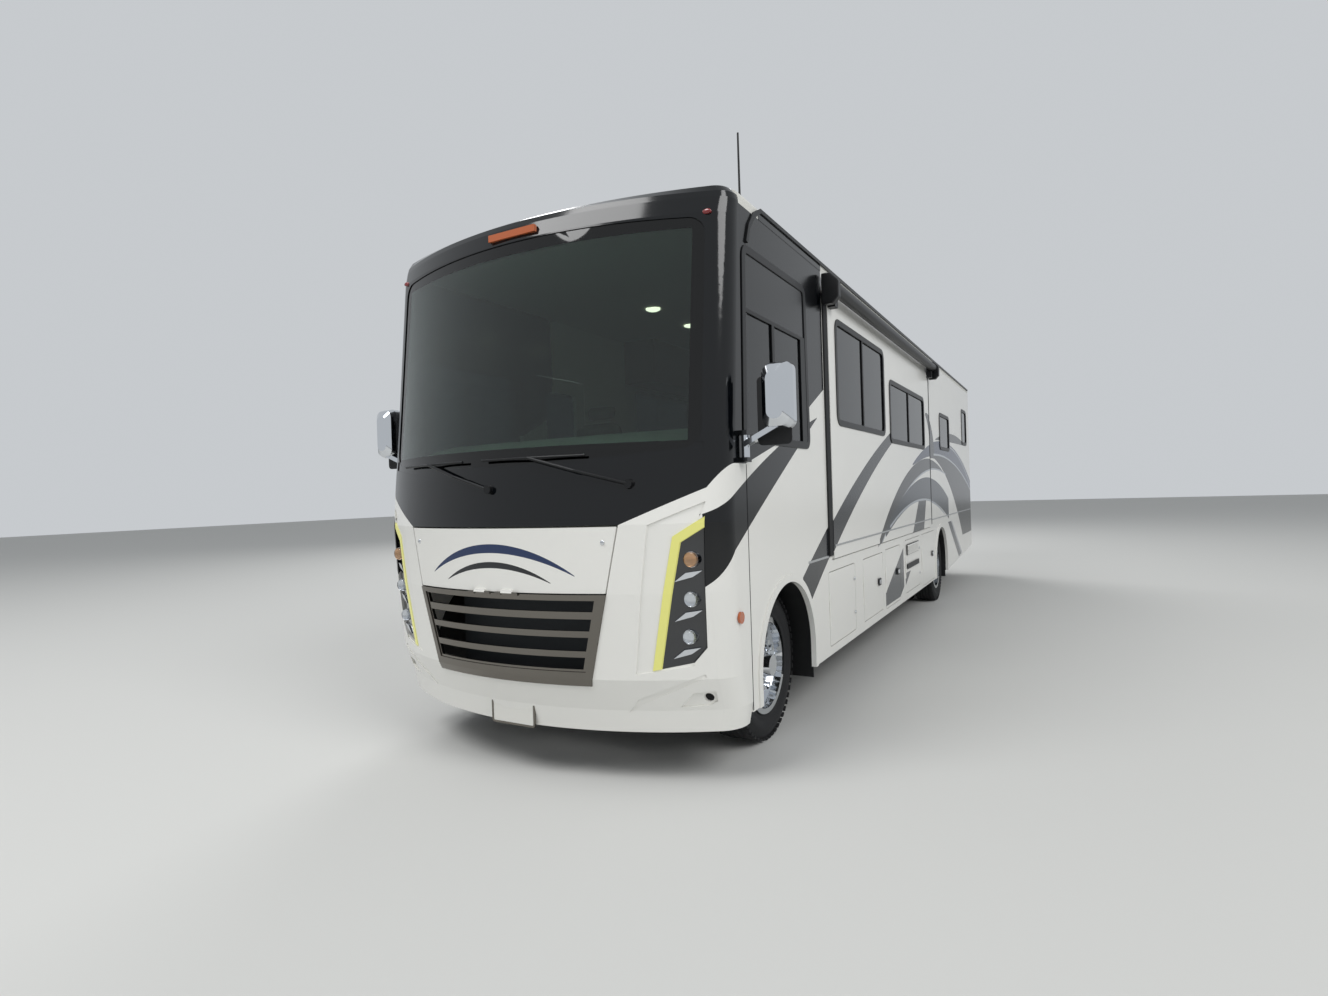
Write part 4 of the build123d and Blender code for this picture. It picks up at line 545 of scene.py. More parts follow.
# share of the radius, share of the rise
DOME_RINGS = ((1, -0.4), (1, 0.35), (0.93, 0.68), (0.75, 0.86), (0.45, 0.97), (0.15, 1.0))


def rows_to_faces(rows, columns, closed_rows, closed_columns):
    """Quads between rows of equal length."""
    faces = []
    for row in range(rows if closed_rows else rows - 1):
        for column in range(columns if closed_columns else columns - 1):
            next_row, next_column = (row + 1) % rows, (column + 1) % columns
            faces.append((row * columns + column, row * columns + next_column,
                          next_row * columns + next_column, next_row * columns + column))
    return faces


def hoops(name, loops, material, body, bevel):
    """A closed ring whose section is the given loops of points."""
    points = [p for loop in loops for p in loop]
    faces = rows_to_faces(len(loops), len(loops[0]), True, True)
    return piece(name, points, faces, material, body, bevel=bevel)


def capped(loops):
    """Points and faces of a stack of loops with its two ends closed."""
    count = len(loops[0])
    points = [p for loop in loops for p in loop]
    ends = [tuple(range(count)), tuple(range(len(points) - count, len(points)))]
    return points, rows_to_faces(len(loops), count, False, True) + ends


def turned(axis, u, v, w):
    """A point from two flat coordinates and its place along the axis."""
    return {"x": (w, u, v), "y": (u, w, v), "z": (u, v, w)}[axis]


def slab(name, outline, near, far, axis, material, body, bevel=0.0, slot=None):
    """A plate with a flat outline, between two places on one axis."""
    loops = [[turned(axis, u, v, w) for u, v in outline] for w in (near, far)]
    return piece(name, *capped(loops), material, body, bevel=bevel, slot=slot)


def side_plate(name, outline, side, low, high, material, body, bevel=0.0):
    """A plate on one side of the coach, between two distances from its middle plane."""
    return slab(name, outline, side * low, side * high, "y", material, body, bevel)


def dome(name, centre, radius, rise, axis, material, body, squash=1.0):
    """A low round cap that stands up from its centre by its rise, along an axis."""
    x, y, z = centre
    u0, v0, w0 = {"x": (y, z, x), "y": (x, z, y)}[axis]
    loops = [[turned(axis, u, v, w0 + rise * lift)
              for u, v in circle(u0, v0, radius * share, DOME_STEPS, squash)]
             for share, lift in DOME_RINGS]
    return piece(name, *capped(loops), material, body, smooth=True)


# %% [markdown]
# The front is curved, so a fitting's place on it can't be typed in. A ray from ahead finds the face.

# %% The front's face
surfaces = {}


def face_x(y, z, names=("front_fascia", "front_mask", "hood_panel")):
    """X of the foremost of some nodes at a half-width and height, found by a ray from ahead."""
    hits = []
    for name in names:
        if name not in surfaces:
            surfaces[name] = BVHTree.FromObject(nodes[name], bpy.context.evaluated_depsgraph_get())
        hit = surfaces[name].ray_cast(Vector((cad_box[1].x + 1, y, z)), Vector((-1, 0, 0)))[0]
        if hit:
            hits.append(hit.x)
    return max(hits)


print("front's face at bumper height", round(face_x(0, 0.5), 3))

# %% [markdown]
# Louvres, lugs and vent slats repeat one small block, so Geometry Nodes place them. The tree takes a
# block, a count, the step between two copies and the turn between two copies about the coach's width.
# A turn with no step makes a circle of lugs, and a step with no turn makes a row of slats.

# %% Repeats


def repeat_tree():
    """Node tree that copies a block along a line or round a wheel's axis."""
    tree = bpy.data.node_groups.new("repeat", "GeometryNodeTree")
    for label, kind in (("Block", "Object"), ("Count", "Int"), ("Step", "Vector"), ("Turn", "Float"),
                        ("Reach", "Vector"), ("Place", "Vector"), ("Finish", "Material")):
        tree.interface.new_socket(name=label, in_out="INPUT", socket_type="NodeSocket" + kind)
    tree.interface.new_socket(name="Geometry", in_out="OUTPUT", socket_type="NodeSocketGeometry")
    given = add(tree, "NodeGroupInput").outputs
    block = add(tree, "GeometryNodeObjectInfo", {"Object": given["Block"]}).outputs["Geometry"]
    feeds = {"Geometry": block, "Translation": given["Reach"]}
    moved = add(tree, "GeometryNodeTransform", feeds).outputs[0]
    feeds = {"Count": given["Count"], "Offset": given["Step"]}
    line = add(tree, "GeometryNodeMeshLine", feeds).outputs[0]
    index = add(tree, "GeometryNodeInputIndex").outputs[0]
    turn = add(tree, "CombineXYZ", {1: reckon(tree, "MULTIPLY", index, given["Turn"])}).outputs[0]
    feeds = {"Points": line, "Instance": moved, "Rotation": turn}
    copies = add(tree, "GeometryNodeInstanceOnPoints", feeds).outputs[0]
    real = add(tree, "GeometryNodeRealizeInstances", {0: copies}).outputs[0]
    feeds = {"Geometry": real, "Translation": given["Place"]}
    placed = add(tree, "GeometryNodeTransform", feeds).outputs[0]
    feeds = {"Geometry": placed, "Material": given["Finish"]}
    add(tree, "NodeGroupOutput", {0: add(tree, "GeometryNodeSetMaterial", feeds).outputs[0]})
    return tree


REPEAT = repeat_tree()


def repeated(name, block, material, body, count, place, step=(0, 0, 0), turn=0.0, reach=(0, 0, 0)):
    """Copies of a block as one plain mesh that rides on a body."""
    holder = in_scene(name, bpy.data.meshes.new(name))
    copier = holder.modifiers.new("repeat", "NODES")
    copier.node_group = REPEAT
    values = {"Block": block, "Count": count, "Step": step, "Turn": turn, "Reach": reach,
              "Place": place, "Finish": made[material]}
    for item in REPEAT.interface.items_tree:
        if item.in_out == "INPUT":
            copier[item.identifier] = values[item.name]
    frozen(holder)
    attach(holder, body)
    return holder


def wedge(name, length, width, height, top, material):
    """A small block on its base, whose top is narrower by a share."""
    rows = [[(x * share * length / 2, y * share * width / 2, z) for x, y in box_outline(-1, 1, -1, 1)]
            for share, z in ((1, 0), (top, height))]
    return shaped(name, *capped(rows), material)


def strip(name, half_length, thickness, near, far, fall, material):
    """A thin strip along the coach between two depths, which may fall towards the second."""
    rows = [[(x, y, z - drop) for x, z in box_outline(-half_length, half_length, 0, thickness)]
            for y, drop in ((near, 0), (far, fall))]
    return shaped(name, *capped(rows), material)


print("repeat tree's nodes", len(REPEAT.nodes))

# %% [markdown]
# Each window sits in a black clamp ring. The ring is a loop of four outlines: its outer and inner
# edge, on its outer and inner face. The sliding ones have a mullion as well. The cab's window has a
# tall ring, which also holds the black panel above the glass.

# %% Window frames
SIDE_NAMES = {1: "left", -1: "right"}
RING_WIDTH = 0.034
RING_PROUD = 0.007
RING_LIP = 0.014
RING_INSET = 0.004
WINDOW_CORNER, CAB_CORNER = 0.07, 0.05
MULLION_HALF = 0.016
MULLION_GAP = 0.01
MULLION_INSET, MULLION_PROUD = 0.005, 0.004
BAR_INSET, BAR_PROUD = 0.004, 0.005
# name, body, side, outer face, front, rear, bottom, top, mullion ahead of the axle
WINDOWS = [
    ("bedroom_left", "coach", 1, SIDE_Y, -6.250, -7.100, 2.100, 2.550, None),
    ("rear_left", "coach", 1, SIDE_Y, -8.600, -9.150, 2.270, 2.800, None),
    ("galley_right", "coach", -1, SIDE_Y, -2.300, -3.600, 2.050, 2.700, -2.95),
    ("bedroom_right", "coach", -1, SIDE_Y, -5.900, -6.900, 2.100, 2.700, -6.4),
    ("rear_right", "coach", -1, SIDE_Y, -7.700, -8.250, 2.300, 2.800, None),
    ("slide_front", "slide_room", 1, SLIDE_Y, -1.180, -2.770, 2.100, 2.860, -1.98),
    ("slide_rear", "slide_room", 1, SLIDE_Y, -3.050, -4.920, 2.050, 2.620, -3.98),
]
CAB_RING = [(-0.478, 1.892), (0.620, 1.892), (0.570, 2.938), (-0.455, 2.938)]
# name, outline ahead of the axle, of the bars of the cab's window
CAB_BARS = [
    ("top", box_outline(-0.46, 0.585, 2.588, 2.612)),
    ("mullion", box_outline(0.13, 0.17, 1.90, 2.59)),
    ("jamb", box_outline(-0.47, -0.36, 1.90, 2.59)),
]


def window_ring(name, outline, side, face, body):
    """Black clamp ring round an outline of the side view."""
    corners = ((RING_WIDTH, 0), (RING_WIDTH, RING_PROUD), (-RING_LIP, RING_PROUD),
               (-RING_LIP, -RING_INSET))
    loops = [[(x, side * (face + depth), z) for x, z in grown(outline, grow)] for grow, depth in corners]
    return hoops(f"window_ring_{name}", loops, STEEL, body, bevel=0.002)


for name, body, side, face, front, rear, bottom, top, mullion in WINDOWS:
    outline = rounded(station(rear), station(front), bottom, top, WINDOW_CORNER)
    window_ring(name, outline, side, face, body)
    if mullion is not None:
        middle = station(mullion)
        outline = box_outline(middle - MULLION_HALF, middle + MULLION_HALF,
                              bottom + MULLION_GAP, top - MULLION_GAP)
        side_plate(f"window_mullion_{name}", outline, side, face - MULLION_INSET,
                   face + MULLION_PROUD, STEEL, body)
for side, hand in SIDE_NAMES.items():
    window_ring(f"cab_{hand}", softened(stations(CAB_RING), CAB_CORNER), side, SIDE_Y, "coach")
    for bar, outline in CAB_BARS:
        side_plate(f"cab_{bar}_{hand}", stations(outline), side, SIDE_Y - BAR_INSET,
                   SIDE_Y + BAR_PROUD, STEEL, "coach", bevel=0.001)
print("windows", len(WINDOWS) + 2)

# %% [markdown]
# Seals and trims are extrusions. A black strip frames each of the slide-out's edges: the rubber seal,
# widened by the painted shadow in the gap beside it. Bright trims cover the joint between wall and
# skirt, and the gutter rail runs down beside the front cap, black in its own right and as painted
# shadow under the roof's edge. Each is a plate with its outline in the side view, a few millimetres
# proud of what carries it.

# %% Seals, trims and the gutter rail, with painted shadow
BRIGHT = "bright_anodised_trim"
LEFT, RIGHT, BOTH = (1,), (-1,), (1, -1)
# the gutter rail's outline: the rail is dark in its own right and as painted shadow along the roof's edge
GUTTER_AND_SHADOW = [(0.545, 2.99), (0.50, 3.10), (0.42, 3.19), (0.31, 3.246), (-9.48, 3.246),
          (-9.48, 3.222), (0.30, 3.222), (0.40, 3.165), (0.475, 3.085), (0.52, 2.985)]
# name, outline, lowest and highest stand from the side's plane, finish, body, sides
TRIMS = [
    # the slide seals are wider than the rubber: the black strip also paints the shadow in the gap beside it
    ("slide_seal_front", box_outline(-0.970, -0.880, 1.085, 3.02), 0, 0.013, SEAL, "coach", LEFT),
    ("slide_seal_rear", box_outline(-5.360, -5.298, 1.085, 3.02), 0, 0.013, SEAL, "coach", LEFT),
    ("belt_trim_front", box_outline(-0.875, -0.41, 1.078, 1.094), 0, 0.004, BRIGHT, "coach", LEFT),
    ("belt_trim_slide", box_outline(-5.26, -1.00, 1.150, 1.164), 0.015, 0.019, BRIGHT, "slide_room", LEFT),
    ("belt_trim_rear", box_outline(-9.49, -5.37, 1.133, 1.147), 0, 0.004, BRIGHT, "coach", LEFT),
    ("belt_trim_right", box_outline(-9.49, -1.40, 1.133, 1.147), 0, 0.004, BRIGHT, "coach", RIGHT),
    ("cap_seam", box_outline(0.617, 0.623, 0.37, 1.735), -0.001, 0.0015, SEAL, "coach", BOTH),
    ("cant_panel", box_outline(-0.875, 0.33, 3.178, 3.224), -0.001, 0.002, "black_gelcoat", "coach", BOTH),
    # the gutter rail's black also paints the shadow line under the roof's edge
    ("gutter_rail", GUTTER_AND_SHADOW, 0, 0.011, STEEL, "coach", BOTH),
    ("vent_slot", box_outline(-4.40, -3.72, 0.685, 0.740), 0.0075, 0.0115, "moulded_black_abs",
     "bay_door_left_4", LEFT),
]
for name, outline, low, high, material, body, sides in TRIMS:
    for side in sides:
        label = name if len(sides) == 1 else f"{name}_{SIDE_NAMES[side]}"
        side_plate(label, stations(outline), side, SIDE_Y + low, SIDE_Y + high, material, body)
print("trims", sum(len(row[-1]) for row in TRIMS))

# %% [markdown]
# The slide-out's fabric topper rolls between two cast housings. Each is a plate with a six-sided
# outline, seen along the coach.

# %% Topper housings
HOUSING = [(1.286, 2.925), (1.370, 2.925), (1.412, 2.970), (1.412, 3.085), (1.350, 3.150), (1.286, 3.150)]
for name, front, rear in (("front", -0.835, -0.905), ("rear", -5.355, -5.425)):
    slab(f"topper_housing_{name}", HOUSING, station(rear), station(front), "x", STEEL, "slide_room",
         bevel=0.008, slot="awning_black")
print("housing height", round(HOUSING[-1][1] - HOUSING[0][1], 3))

# %% [markdown]
# Bay doors close with round slam locks and oval paddle latches. The entry door has a paddle handle.
# Each stands on its door's outer skin, so the skin's distance from the middle plane is named once.

# %% Locks, latches and the entry handle
DOOR_FACE = SIDE_Y + 0.008
LOCK_RADIUS, LOCK_RISE = 0.014, 0.006
LATCH_HALF_LENGTH, LATCH_HALF_HEIGHT, LATCH_CORNER = 0.055, 0.034, 0.03
PADDLE_REAR, PADDLE_FRONT, PADDLE_HALF_HEIGHT, PADDLE_CORNER = 0.038, 0.030, 0.019, 0.012
# how deep a fitting is let into its door's skin, and how far each stands proud of it
LET_IN = 0.002
LATCH_PROUD, PADDLE_PROUD, HANDLE_PROUD = 0.005, 0.010, 0.012
# name, place ahead of the axle, height, side, body
LOCKS = [
    ("lock_1_upper", -1.555, 0.843, 1, "bay_door_left_1"),
    ("lock_1_lower", -1.555, 0.571, 1, "bay_door_left_1"),
    ("lock_4_upper", -4.44, 0.86, 1, "bay_door_left_4"),
    ("lock_4_lower", -4.44, 0.57, 1, "bay_door_left_4"),
    ("lock_entry", -0.72, 1.62, -1, "entry_door"),
]
# bay door, place ahead of the axle, height, side
LATCHES = [
    ("left_2", -2.43, 0.71, 1), ("left_3", -3.25, 0.715, 1), ("left_5", -5.35, 0.715, 1),
    ("right_1", -2.05, 0.71, -1), ("right_2", -3.45, 0.71, -1), ("right_3", -4.75, 0.71, -1),
]
for name, x, z, side, body in LOCKS:
    dome(name, (station(x), side * DOOR_FACE, z), LOCK_RADIUS, side * LOCK_RISE, "y", "polished_chrome",
         body)
for door, ahead, z, side in LATCHES:
    x, name, body = station(ahead), f"latch_{door}", f"bay_door_{door}"
    plate = rounded(x - LATCH_HALF_LENGTH, x + LATCH_HALF_LENGTH, z - LATCH_HALF_HEIGHT,
                    z + LATCH_HALF_HEIGHT, LATCH_CORNER)
    side_plate(name, plate, side, DOOR_FACE - LET_IN, DOOR_FACE + LATCH_PROUD, STEEL, body, bevel=0.002)
    paddle = rounded(x - PADDLE_REAR, x + PADDLE_FRONT, z - PADDLE_HALF_HEIGHT,
                     z + PADDLE_HALF_HEIGHT, PADDLE_CORNER)
    side_plate(name + "_paddle", paddle, side, DOOR_FACE + LATCH_PROUD - 0.001,
               DOOR_FACE + PADDLE_PROUD, "polished_chrome", body, bevel=0.002)
handle = rounded(station(-0.80), station(-0.69), 1.40, 1.56, 0.02)
side_plate("entry_handle", handle, -1, DOOR_FACE - LET_IN, DOOR_FACE + HANDLE_PROUD, STEEL,
           "entry_door", bevel=0.004)
print("locks", len(LOCKS), "latches", len(LATCHES))

# %% [markdown]
# One bay on the driver's side breathes through a vent. Its slats fall outwards, so that rain runs off,
# and one row of copies fills the frame.

# %% Bay vent
VENT_FRONT, VENT_REAR, VENT_BOTTOM, VENT_TOP = -3.72, -4.40, 0.835, 0.950
SLAT_COUNT = 7
SLAT_PITCH = 0.0145
LOWEST_SLAT = 0.013
slat = strip("slat", half_length=0.32, thickness=0.006, near=0, far=0.008, fall=0.007,
             material="white_gelcoat")
vent = rounded(station(VENT_REAR), station(VENT_FRONT), VENT_BOTTOM, VENT_TOP, 0.015)
side_plate("bay_vent_frame", vent, 1, DOOR_FACE - 0.001, DOOR_FACE + 0.002, "moulded_black_abs",
           "bay_door_left_4")
repeated("bay_vent_slats", slat, "white_gelcoat", "bay_door_left_4", SLAT_COUNT,
         (station((VENT_FRONT + VENT_REAR) / 2), DOOR_FACE + 0.001, VENT_BOTTOM + LOWEST_SLAT),
         step=(0, 0, SLAT_PITCH))
bpy.data.objects.remove(slat)
print("slats", SLAT_COUNT)

# %% [markdown]
# The front lamps are reflector bowls behind clear domes, with an amber one on top for the indicator.
# The clearance lamps sit high on the cap's corners and along the rear's top edge, and the hood has a
# lock near each upper corner. All are low caps, so one helper makes them.

# %% Lamps and hood locks
LENS_AHEAD, LENS_RISE = 0.004, 0.012
# half-width, height, radius, finish
ROUND_LAMPS = [(1.100, 1.240, 0.040, "amber_lens_polycarbonate"),
               (1.090, 1.030, 0.038, "clear_polycarbonate"),
               (1.070, 0.830, 0.036, "clear_polycarbonate")]
# name, half-width, height, radius, rise, finish, body, squash
FRONT_CAPS = [("clearance_lamp", 1.16, 3.10, 0.026, 0.014, "red_polycarbonate", "coach", 0.55),
              ("hood_lock", 0.68, 1.34, 0.013, 0.005, "polished_chrome", "hood_panel", 1.0)]
REAR_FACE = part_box("rear_wall")[0].x
REAR_LAMPS = (-1.05, -0.22, 0, 0.22, 1.05)
REAR_LAMP_Z, REAR_LAMP_RADIUS, REAR_LAMP_RISE = 3.14, 0.04, 0.012
for number, (y, z, radius, material) in enumerate(ROUND_LAMPS, 1):
    for side, hand in SIDE_NAMES.items():
        x = face_x(side * y, z, ("headlamp_lamps", "headlamp_housings")) + LENS_AHEAD
        dome(f"lamp_lens_{number}_{hand}", (x, side * y, z), radius, LENS_RISE, "x", material, "coach")
for side, hand in SIDE_NAMES.items():
    for name, y, z, radius, rise, material, body, squash in FRONT_CAPS:
        centre = (face_x(side * y, z), side * y, z)
        dome(f"{name}_{hand}", centre, radius, rise, "x", material, body, squash)
for number, y in enumerate(REAR_LAMPS, 1):
    dome(f"rear_clearance_{number}", (REAR_FACE, y, REAR_LAMP_Z), REAR_LAMP_RADIUS, -REAR_LAMP_RISE, "x",
         "red_polycarbonate", "coach", squash=0.45)
print("front lamps", 2 * len(ROUND_LAMPS), "rear clearance lamps", len(REAR_LAMPS))

# %% [markdown]
# The plates are blank pressings in a dark chrome frame, because this coach has no number of its own.
# The frame is a ring of four outlines, as the window rings are, but seen from the front.

# %% Plates
PLATE = {"half": 0.1525, "height": 0.152, "corner": 0.015, "half_depth": 0.004}
# outwards from the plate's edge, outwards from the wall
PLATE_FRAME = ((0.008, -0.004), (0.008, 0.007), (-0.004, 0.007), (-0.004, -0.004))
# name, wall, bottom, way that it faces
PLATES = [("front", face_x(0, 0.36), 0.290, 1), ("rear", REAR_FACE, 0.86, -1)]
for name, x, bottom, way in PLATES:
    field = rounded(-PLATE["half"], PLATE["half"], bottom, bottom + PLATE["height"], PLATE["corner"])
    near, far = x - way * PLATE["half_depth"], x + way * PLATE["half_depth"]
    slab(f"plate_{name}", field, near, far, "x", "white_roof_membrane", "coach", bevel=0.001)
    loops = [[(x + way * depth, y, z) for y, z in grown(field, grow)] for grow, depth in PLATE_FRAME]
    hoops(f"plate_frame_{name}", loops, "dark_satin_chrome", "coach", bevel=0.001)
print("plates", len(PLATES))

# %% [markdown]
# A mirror is a chromed shell with a silvered plate behind. The plate is a separate glass in a black
# gasket, so its edge shows as a dark line from the driver's seat.

# %% Mirror glasses
GLASS_OUTWARDS, GLASS_HALF_WIDTH, GLASS_BOTTOM, GLASS_TOP = 0.03, 0.095, 1.83, 2.20
GASKET_LIP = 0.006
for side, hand in SIDE_NAMES.items():
    name = "mirror_" + hand
    low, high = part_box(name)
    middle = (low.y + high.y) / 2 + side * GLASS_OUTWARDS
    gasket = rounded(middle - GLASS_HALF_WIDTH, middle + GLASS_HALF_WIDTH, GLASS_BOTTOM, GLASS_TOP, 0.03)
    slab(name + "_gasket", gasket, low.x - 0.002, low.x + 0.006, "x", SEAL, name)
    slab(name + "_glass", grown(gasket, -GASKET_LIP), low.x - 0.005, low.x + 0.004, "x",
         "silvered_mirror", name)
print("mirror glass height", round(GLASS_TOP - GLASS_BOTTOM - 2 * GASKET_LIP, 3))

# %% [markdown]
# The air conditioners draw air through louvres in their moulded shrouds. Each louvre is a thin strip,
# and the row leans inwards as it climbs, to follow the shroud.

# %% Louvres
UNIT_HALF_WIDTH = -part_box("roof_units")[0].y
LOUVRE_COUNT = 6
LOUVRE_LOWEST = 3.335
LOUVRE_STEP, LOUVRE_LEAN = 0.022, 0.0045
LOUVRE_INSET = 0.012
louvre = strip("louvre", half_length=0.22, thickness=0.008, near=-0.006, far=0.012, fall=0,
               material="moulded_black_abs")
for number, ahead in enumerate((-1.70, -6.70), 1):
    for side, hand in SIDE_NAMES.items():
        repeated(f"louvres_{number}_{hand}", louvre, "moulded_black_abs", "coach", LOUVRE_COUNT,
                 (station(ahead), side * (UNIT_HALF_WIDTH - LOUVRE_INSET), LOUVRE_LOWEST),
                 step=(0, -side * LOUVRE_LEAN, LOUVRE_STEP))
bpy.data.objects.remove(louvre)
print("louvres", 4 * LOUVRE_COUNT)

# %% [markdown]
# The ceiling has flush lamps, which show through the windscreen as small bright discs. They give light
# of their own, so they are seen against the dark inside.

# %% Ceiling lamps
CEILING_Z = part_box("roof")[0].z
CEILING_LAMP_RADIUS, CEILING_LAMP_SIDES = 0.06, 24
CEILING_LAMP_DROP, CEILING_GAP = 0.012, 0.0005
# place ahead of the axle, place across
CEILING_LAMPS = ((-1.086, -0.27), (-1.827, -0.29), (-1.086, 0.45), (-1.827, 0.45))
for number, (ahead, y) in enumerate(CEILING_LAMPS, 1):
    ring = circle(station(ahead), y, CEILING_LAMP_RADIUS, CEILING_LAMP_SIDES)
    slab(f"ceiling_lamp_{number}", ring, CEILING_Z - CEILING_LAMP_DROP, CEILING_Z - CEILING_GAP, "z",
         "lit_ceiling_diffuser", "coach", bevel=0.003)
print("ceiling lamps", len(CEILING_LAMPS))

# %% [markdown]
# The aerial is a black whip on a rubber foot. It is a stack of rings that narrow upwards, around the
# frame's rod.

# %% Aerial
AERIAL_AHEAD, AERIAL_Y = 0.38, 1.18
AERIAL_SIDES = 16
# height, radius
AERIAL_RINGS = [(3.262, 0.018), (3.285, 0.017), (3.315, 0.009), (3.330, 0.0065), (3.689, 0.0055)]
loops = [[(x, y, z) for x, y in circle(station(AERIAL_AHEAD), AERIAL_Y, radius, AERIAL_SIDES)]
         for z, radius in AERIAL_RINGS]
piece("aerial_whip", *capped(loops), SEAL, "coach")
print("aerial length", round(AERIAL_RINGS[-1][0] - AERIAL_RINGS[0][0], 3))

# %% [markdown]
# The dash is topped by a padded cover that climbs from the glass towards the driver. Its section is
# the same all the way across, but its front edge follows the dash below, which a ray finds.

# %% Dash cover
DASH_REAR = 0.42
DASH_HALF_WIDTH = 1.05
DASH_LEVEL = 1.77
DASH_INSET = 0.012
DASH_SECTIONS = 13
# share of the way from the front edge to the rear one, and height, round the section
DASH_SECTION = [(0, 1.786), (0.03, 1.865), (0.40, 1.925), (0.80, 1.968), (0.96, 1.966), (1, 1.94), (1, 1.786)]
loops = []
for n in range(DASH_SECTIONS):
    y = DASH_HALF_WIDTH * (2 * n / (DASH_SECTIONS - 1) - 1)
    front, rear = face_x(y, DASH_LEVEL, ("dashboard",)) - DASH_INSET, station(DASH_REAR)
    loops.append([(front + (rear - front) * share, y, z) for share, z in DASH_SECTION])
piece("dash_cover", *capped(loops), "grained_dash_vinyl", "coach", bevel=0.004)
print("dash cover's front", round(max(p[0] for loop in loops for p in loop), 3))

# %% [markdown]
# A truck tyre is a lathe job with tread blocks. The profile gives the sidewall its rings and the crown
# its ribs and grooves. The shoulder lugs repeat, so the repeat tree sets them on a circle.

# %% Tyre profile
CROWN_GROOVES = (0.060, 0.020, -0.020, -0.060)
GROOVE_HALF = 0.005
GROOVE_FLOOR_HALF = GROOVE_HALF * 0.6
GROOVE_DEPTH = 0.013


def tyre_profile():
    """The tyre's section from bead to bead, as (radius, offset)."""
    half = TYRE_WIDTH / 2
    side = [(0.288, 0.098), (0.311, 0.100), (0.322, 0.108), (0.330, 0.109), (0.336, 0.107), (0.352, 0.113),
            (0.380, half - 0.001), (0.405, half), (0.410, half - 0.003), (0.428, half - 0.004),
            (0.448, half - 0.018)]
    shoulder = [(TYRE_RADIUS - 0.004, 0.098), (TYRE_RADIUS - 0.001, 0.090)]
    crown = []
    floor = TYRE_RADIUS - GROOVE_DEPTH
    for groove in CROWN_GROOVES:
        crown += [(TYRE_RADIUS, groove + GROOVE_HALF), (floor, groove + GROOVE_FLOOR_HALF),
                  (floor, groove - GROOVE_FLOOR_HALF), (TYRE_RADIUS, groove - GROOVE_HALF)]
    return side + shoulder + crown + [(r, -offset) for r, offset in reversed(side + shoulder)]


def lathe(profile, centre, steps):
    """Points of a closed ring about a wheel's axis, from its (radius, offset) profile."""
    x, y, z = centre
    return [[(u, y + offset, v) for u, v in circle(x, z, r, steps)] for r, offset in profile]


print("tyre's profile points", len(tyre_profile()))

# %% [markdown]
# The rear wheels carry twin tyres, which turn as one body, so both rings are one piece. Each tyre has
# a row of lugs on both shoulders.

# %% Tyres
TYRE_STEPS = 96
LUG_COUNT = 56
LUG_OFFSET = 0.107
LUG_SINK = 0.0165
# node, body, tyres side by side
TYRES = [
    ("tyre_front_left", "front_wheel_left", 1), ("tyre_front_right", "front_wheel_right", 1),
    ("tyres_rear_left", "rear_wheels_left", 2), ("tyres_rear_right", "rear_wheels_right", 2),
]
lug = wedge("lug", length=0.034, width=0.026, height=0.014, top=0.85, material=RUBBER)
for node, body, count in TYRES:
    low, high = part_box(node)
    x = (low.x + high.x) / 2
    places = [low.y + TYRE_WIDTH / 2, high.y - TYRE_WIDTH / 2][:count]
    points, faces = [], []
    for y in places:
        loops = lathe(tyre_profile(), (x, y, AXLE_Z), TYRE_STEPS)
        start = len(points)
        points += [p for loop in loops for p in loop]
        faces += [tuple(start + i for i in f) for f in rows_to_faces(len(loops), TYRE_STEPS, True, True)]
    rubber = piece(node + "_rubber", points, faces, RUBBER, body, smooth=True)
    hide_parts(node)
    shoulders = [y + side * LUG_OFFSET for y in places for side in (1, -1)]
    for number, y in enumerate(shoulders, 1):
        repeated(f"{node}_lugs_{number}", lug, RUBBER, body, LUG_COUNT, (x, y, AXLE_Z),
                 turn=2 * math.pi / LUG_COUNT, reach=(0, 0, TYRE_RADIUS - LUG_SINK))
bpy.data.objects.remove(lug)
print("lugs", 12 * LUG_COUNT)

# %% [markdown]
# The two cab seats are foam in sewn leather on a steel base. Each cushion starts as a rounded block,
# a little smaller than the frame's: a cube's grid, pulled in by a rule that makes a box with soft
# corners. The remesh after it gives the leather even squares to stretch.

# %% Cushion blocks
SEAT_Y = 0.62
# name, middle ahead of the axle and height, length, width, height, lean in degrees, channels' spacing
PADS = [
    ("base", (-0.335, 1.490), 0.470, 0.500, 0.115, 0, 0.15),
    ("back", (-0.672, 1.900), 0.095, 0.470, 0.620, -12, 0.15),
    ("headrest", (-0.757, 2.280), 0.070, 0.270, 0.110, -12, 0.30),
]
BLOCK_STEPS = 10
CORNER_POWER = 6


def cushion_block(name, centre, size, lean):
    """A rounded block on a grid over a cube's six faces."""
    points, faces = [], []
    count = BLOCK_STEPS + 1
    for axis in range(3):
        for way in (-1, 1):
            start = len(points)
            for row in range(count):
                for column in range(count):
                    spot = [2 * row / BLOCK_STEPS - 1, 2 * column / BLOCK_STEPS - 1]
                    spot.insert(axis, way)
                    norm = sum(abs(c) ** CORNER_POWER for c in spot) ** (1 / CORNER_POWER)
                    points.append(Vector([c / norm * s / 2 for c, s in zip(spot, size)]))
            faces += [tuple(start + i for i in f) for f in rows_to_faces(count, count, False, False)]
    turn = Matrix.Rotation(math.radians(lean), 4, "Y")
    points = [turn @ p + Vector(centre) for p in points]
    return shaped(name, points, faces, "stitched_leather", smooth=True)


# %% [markdown]
# A cloth simulation with pressure blows the block up until its skin is tight, and a cap keeps every
# point near its start. The sewn channels are pressed in afterwards. Only one seat is blown up, because
# both are sewn from the same pattern: the other is its mirror copy.

# %% Leather skins
VOXEL = 0.018
CLOTH_PRESSURE = 4
CLOTH_FRAMES = 20
MOST_SWELL = 0.016
CHANNEL_DEPTH = 0.007
CHANNEL_WIDTH = 0.007


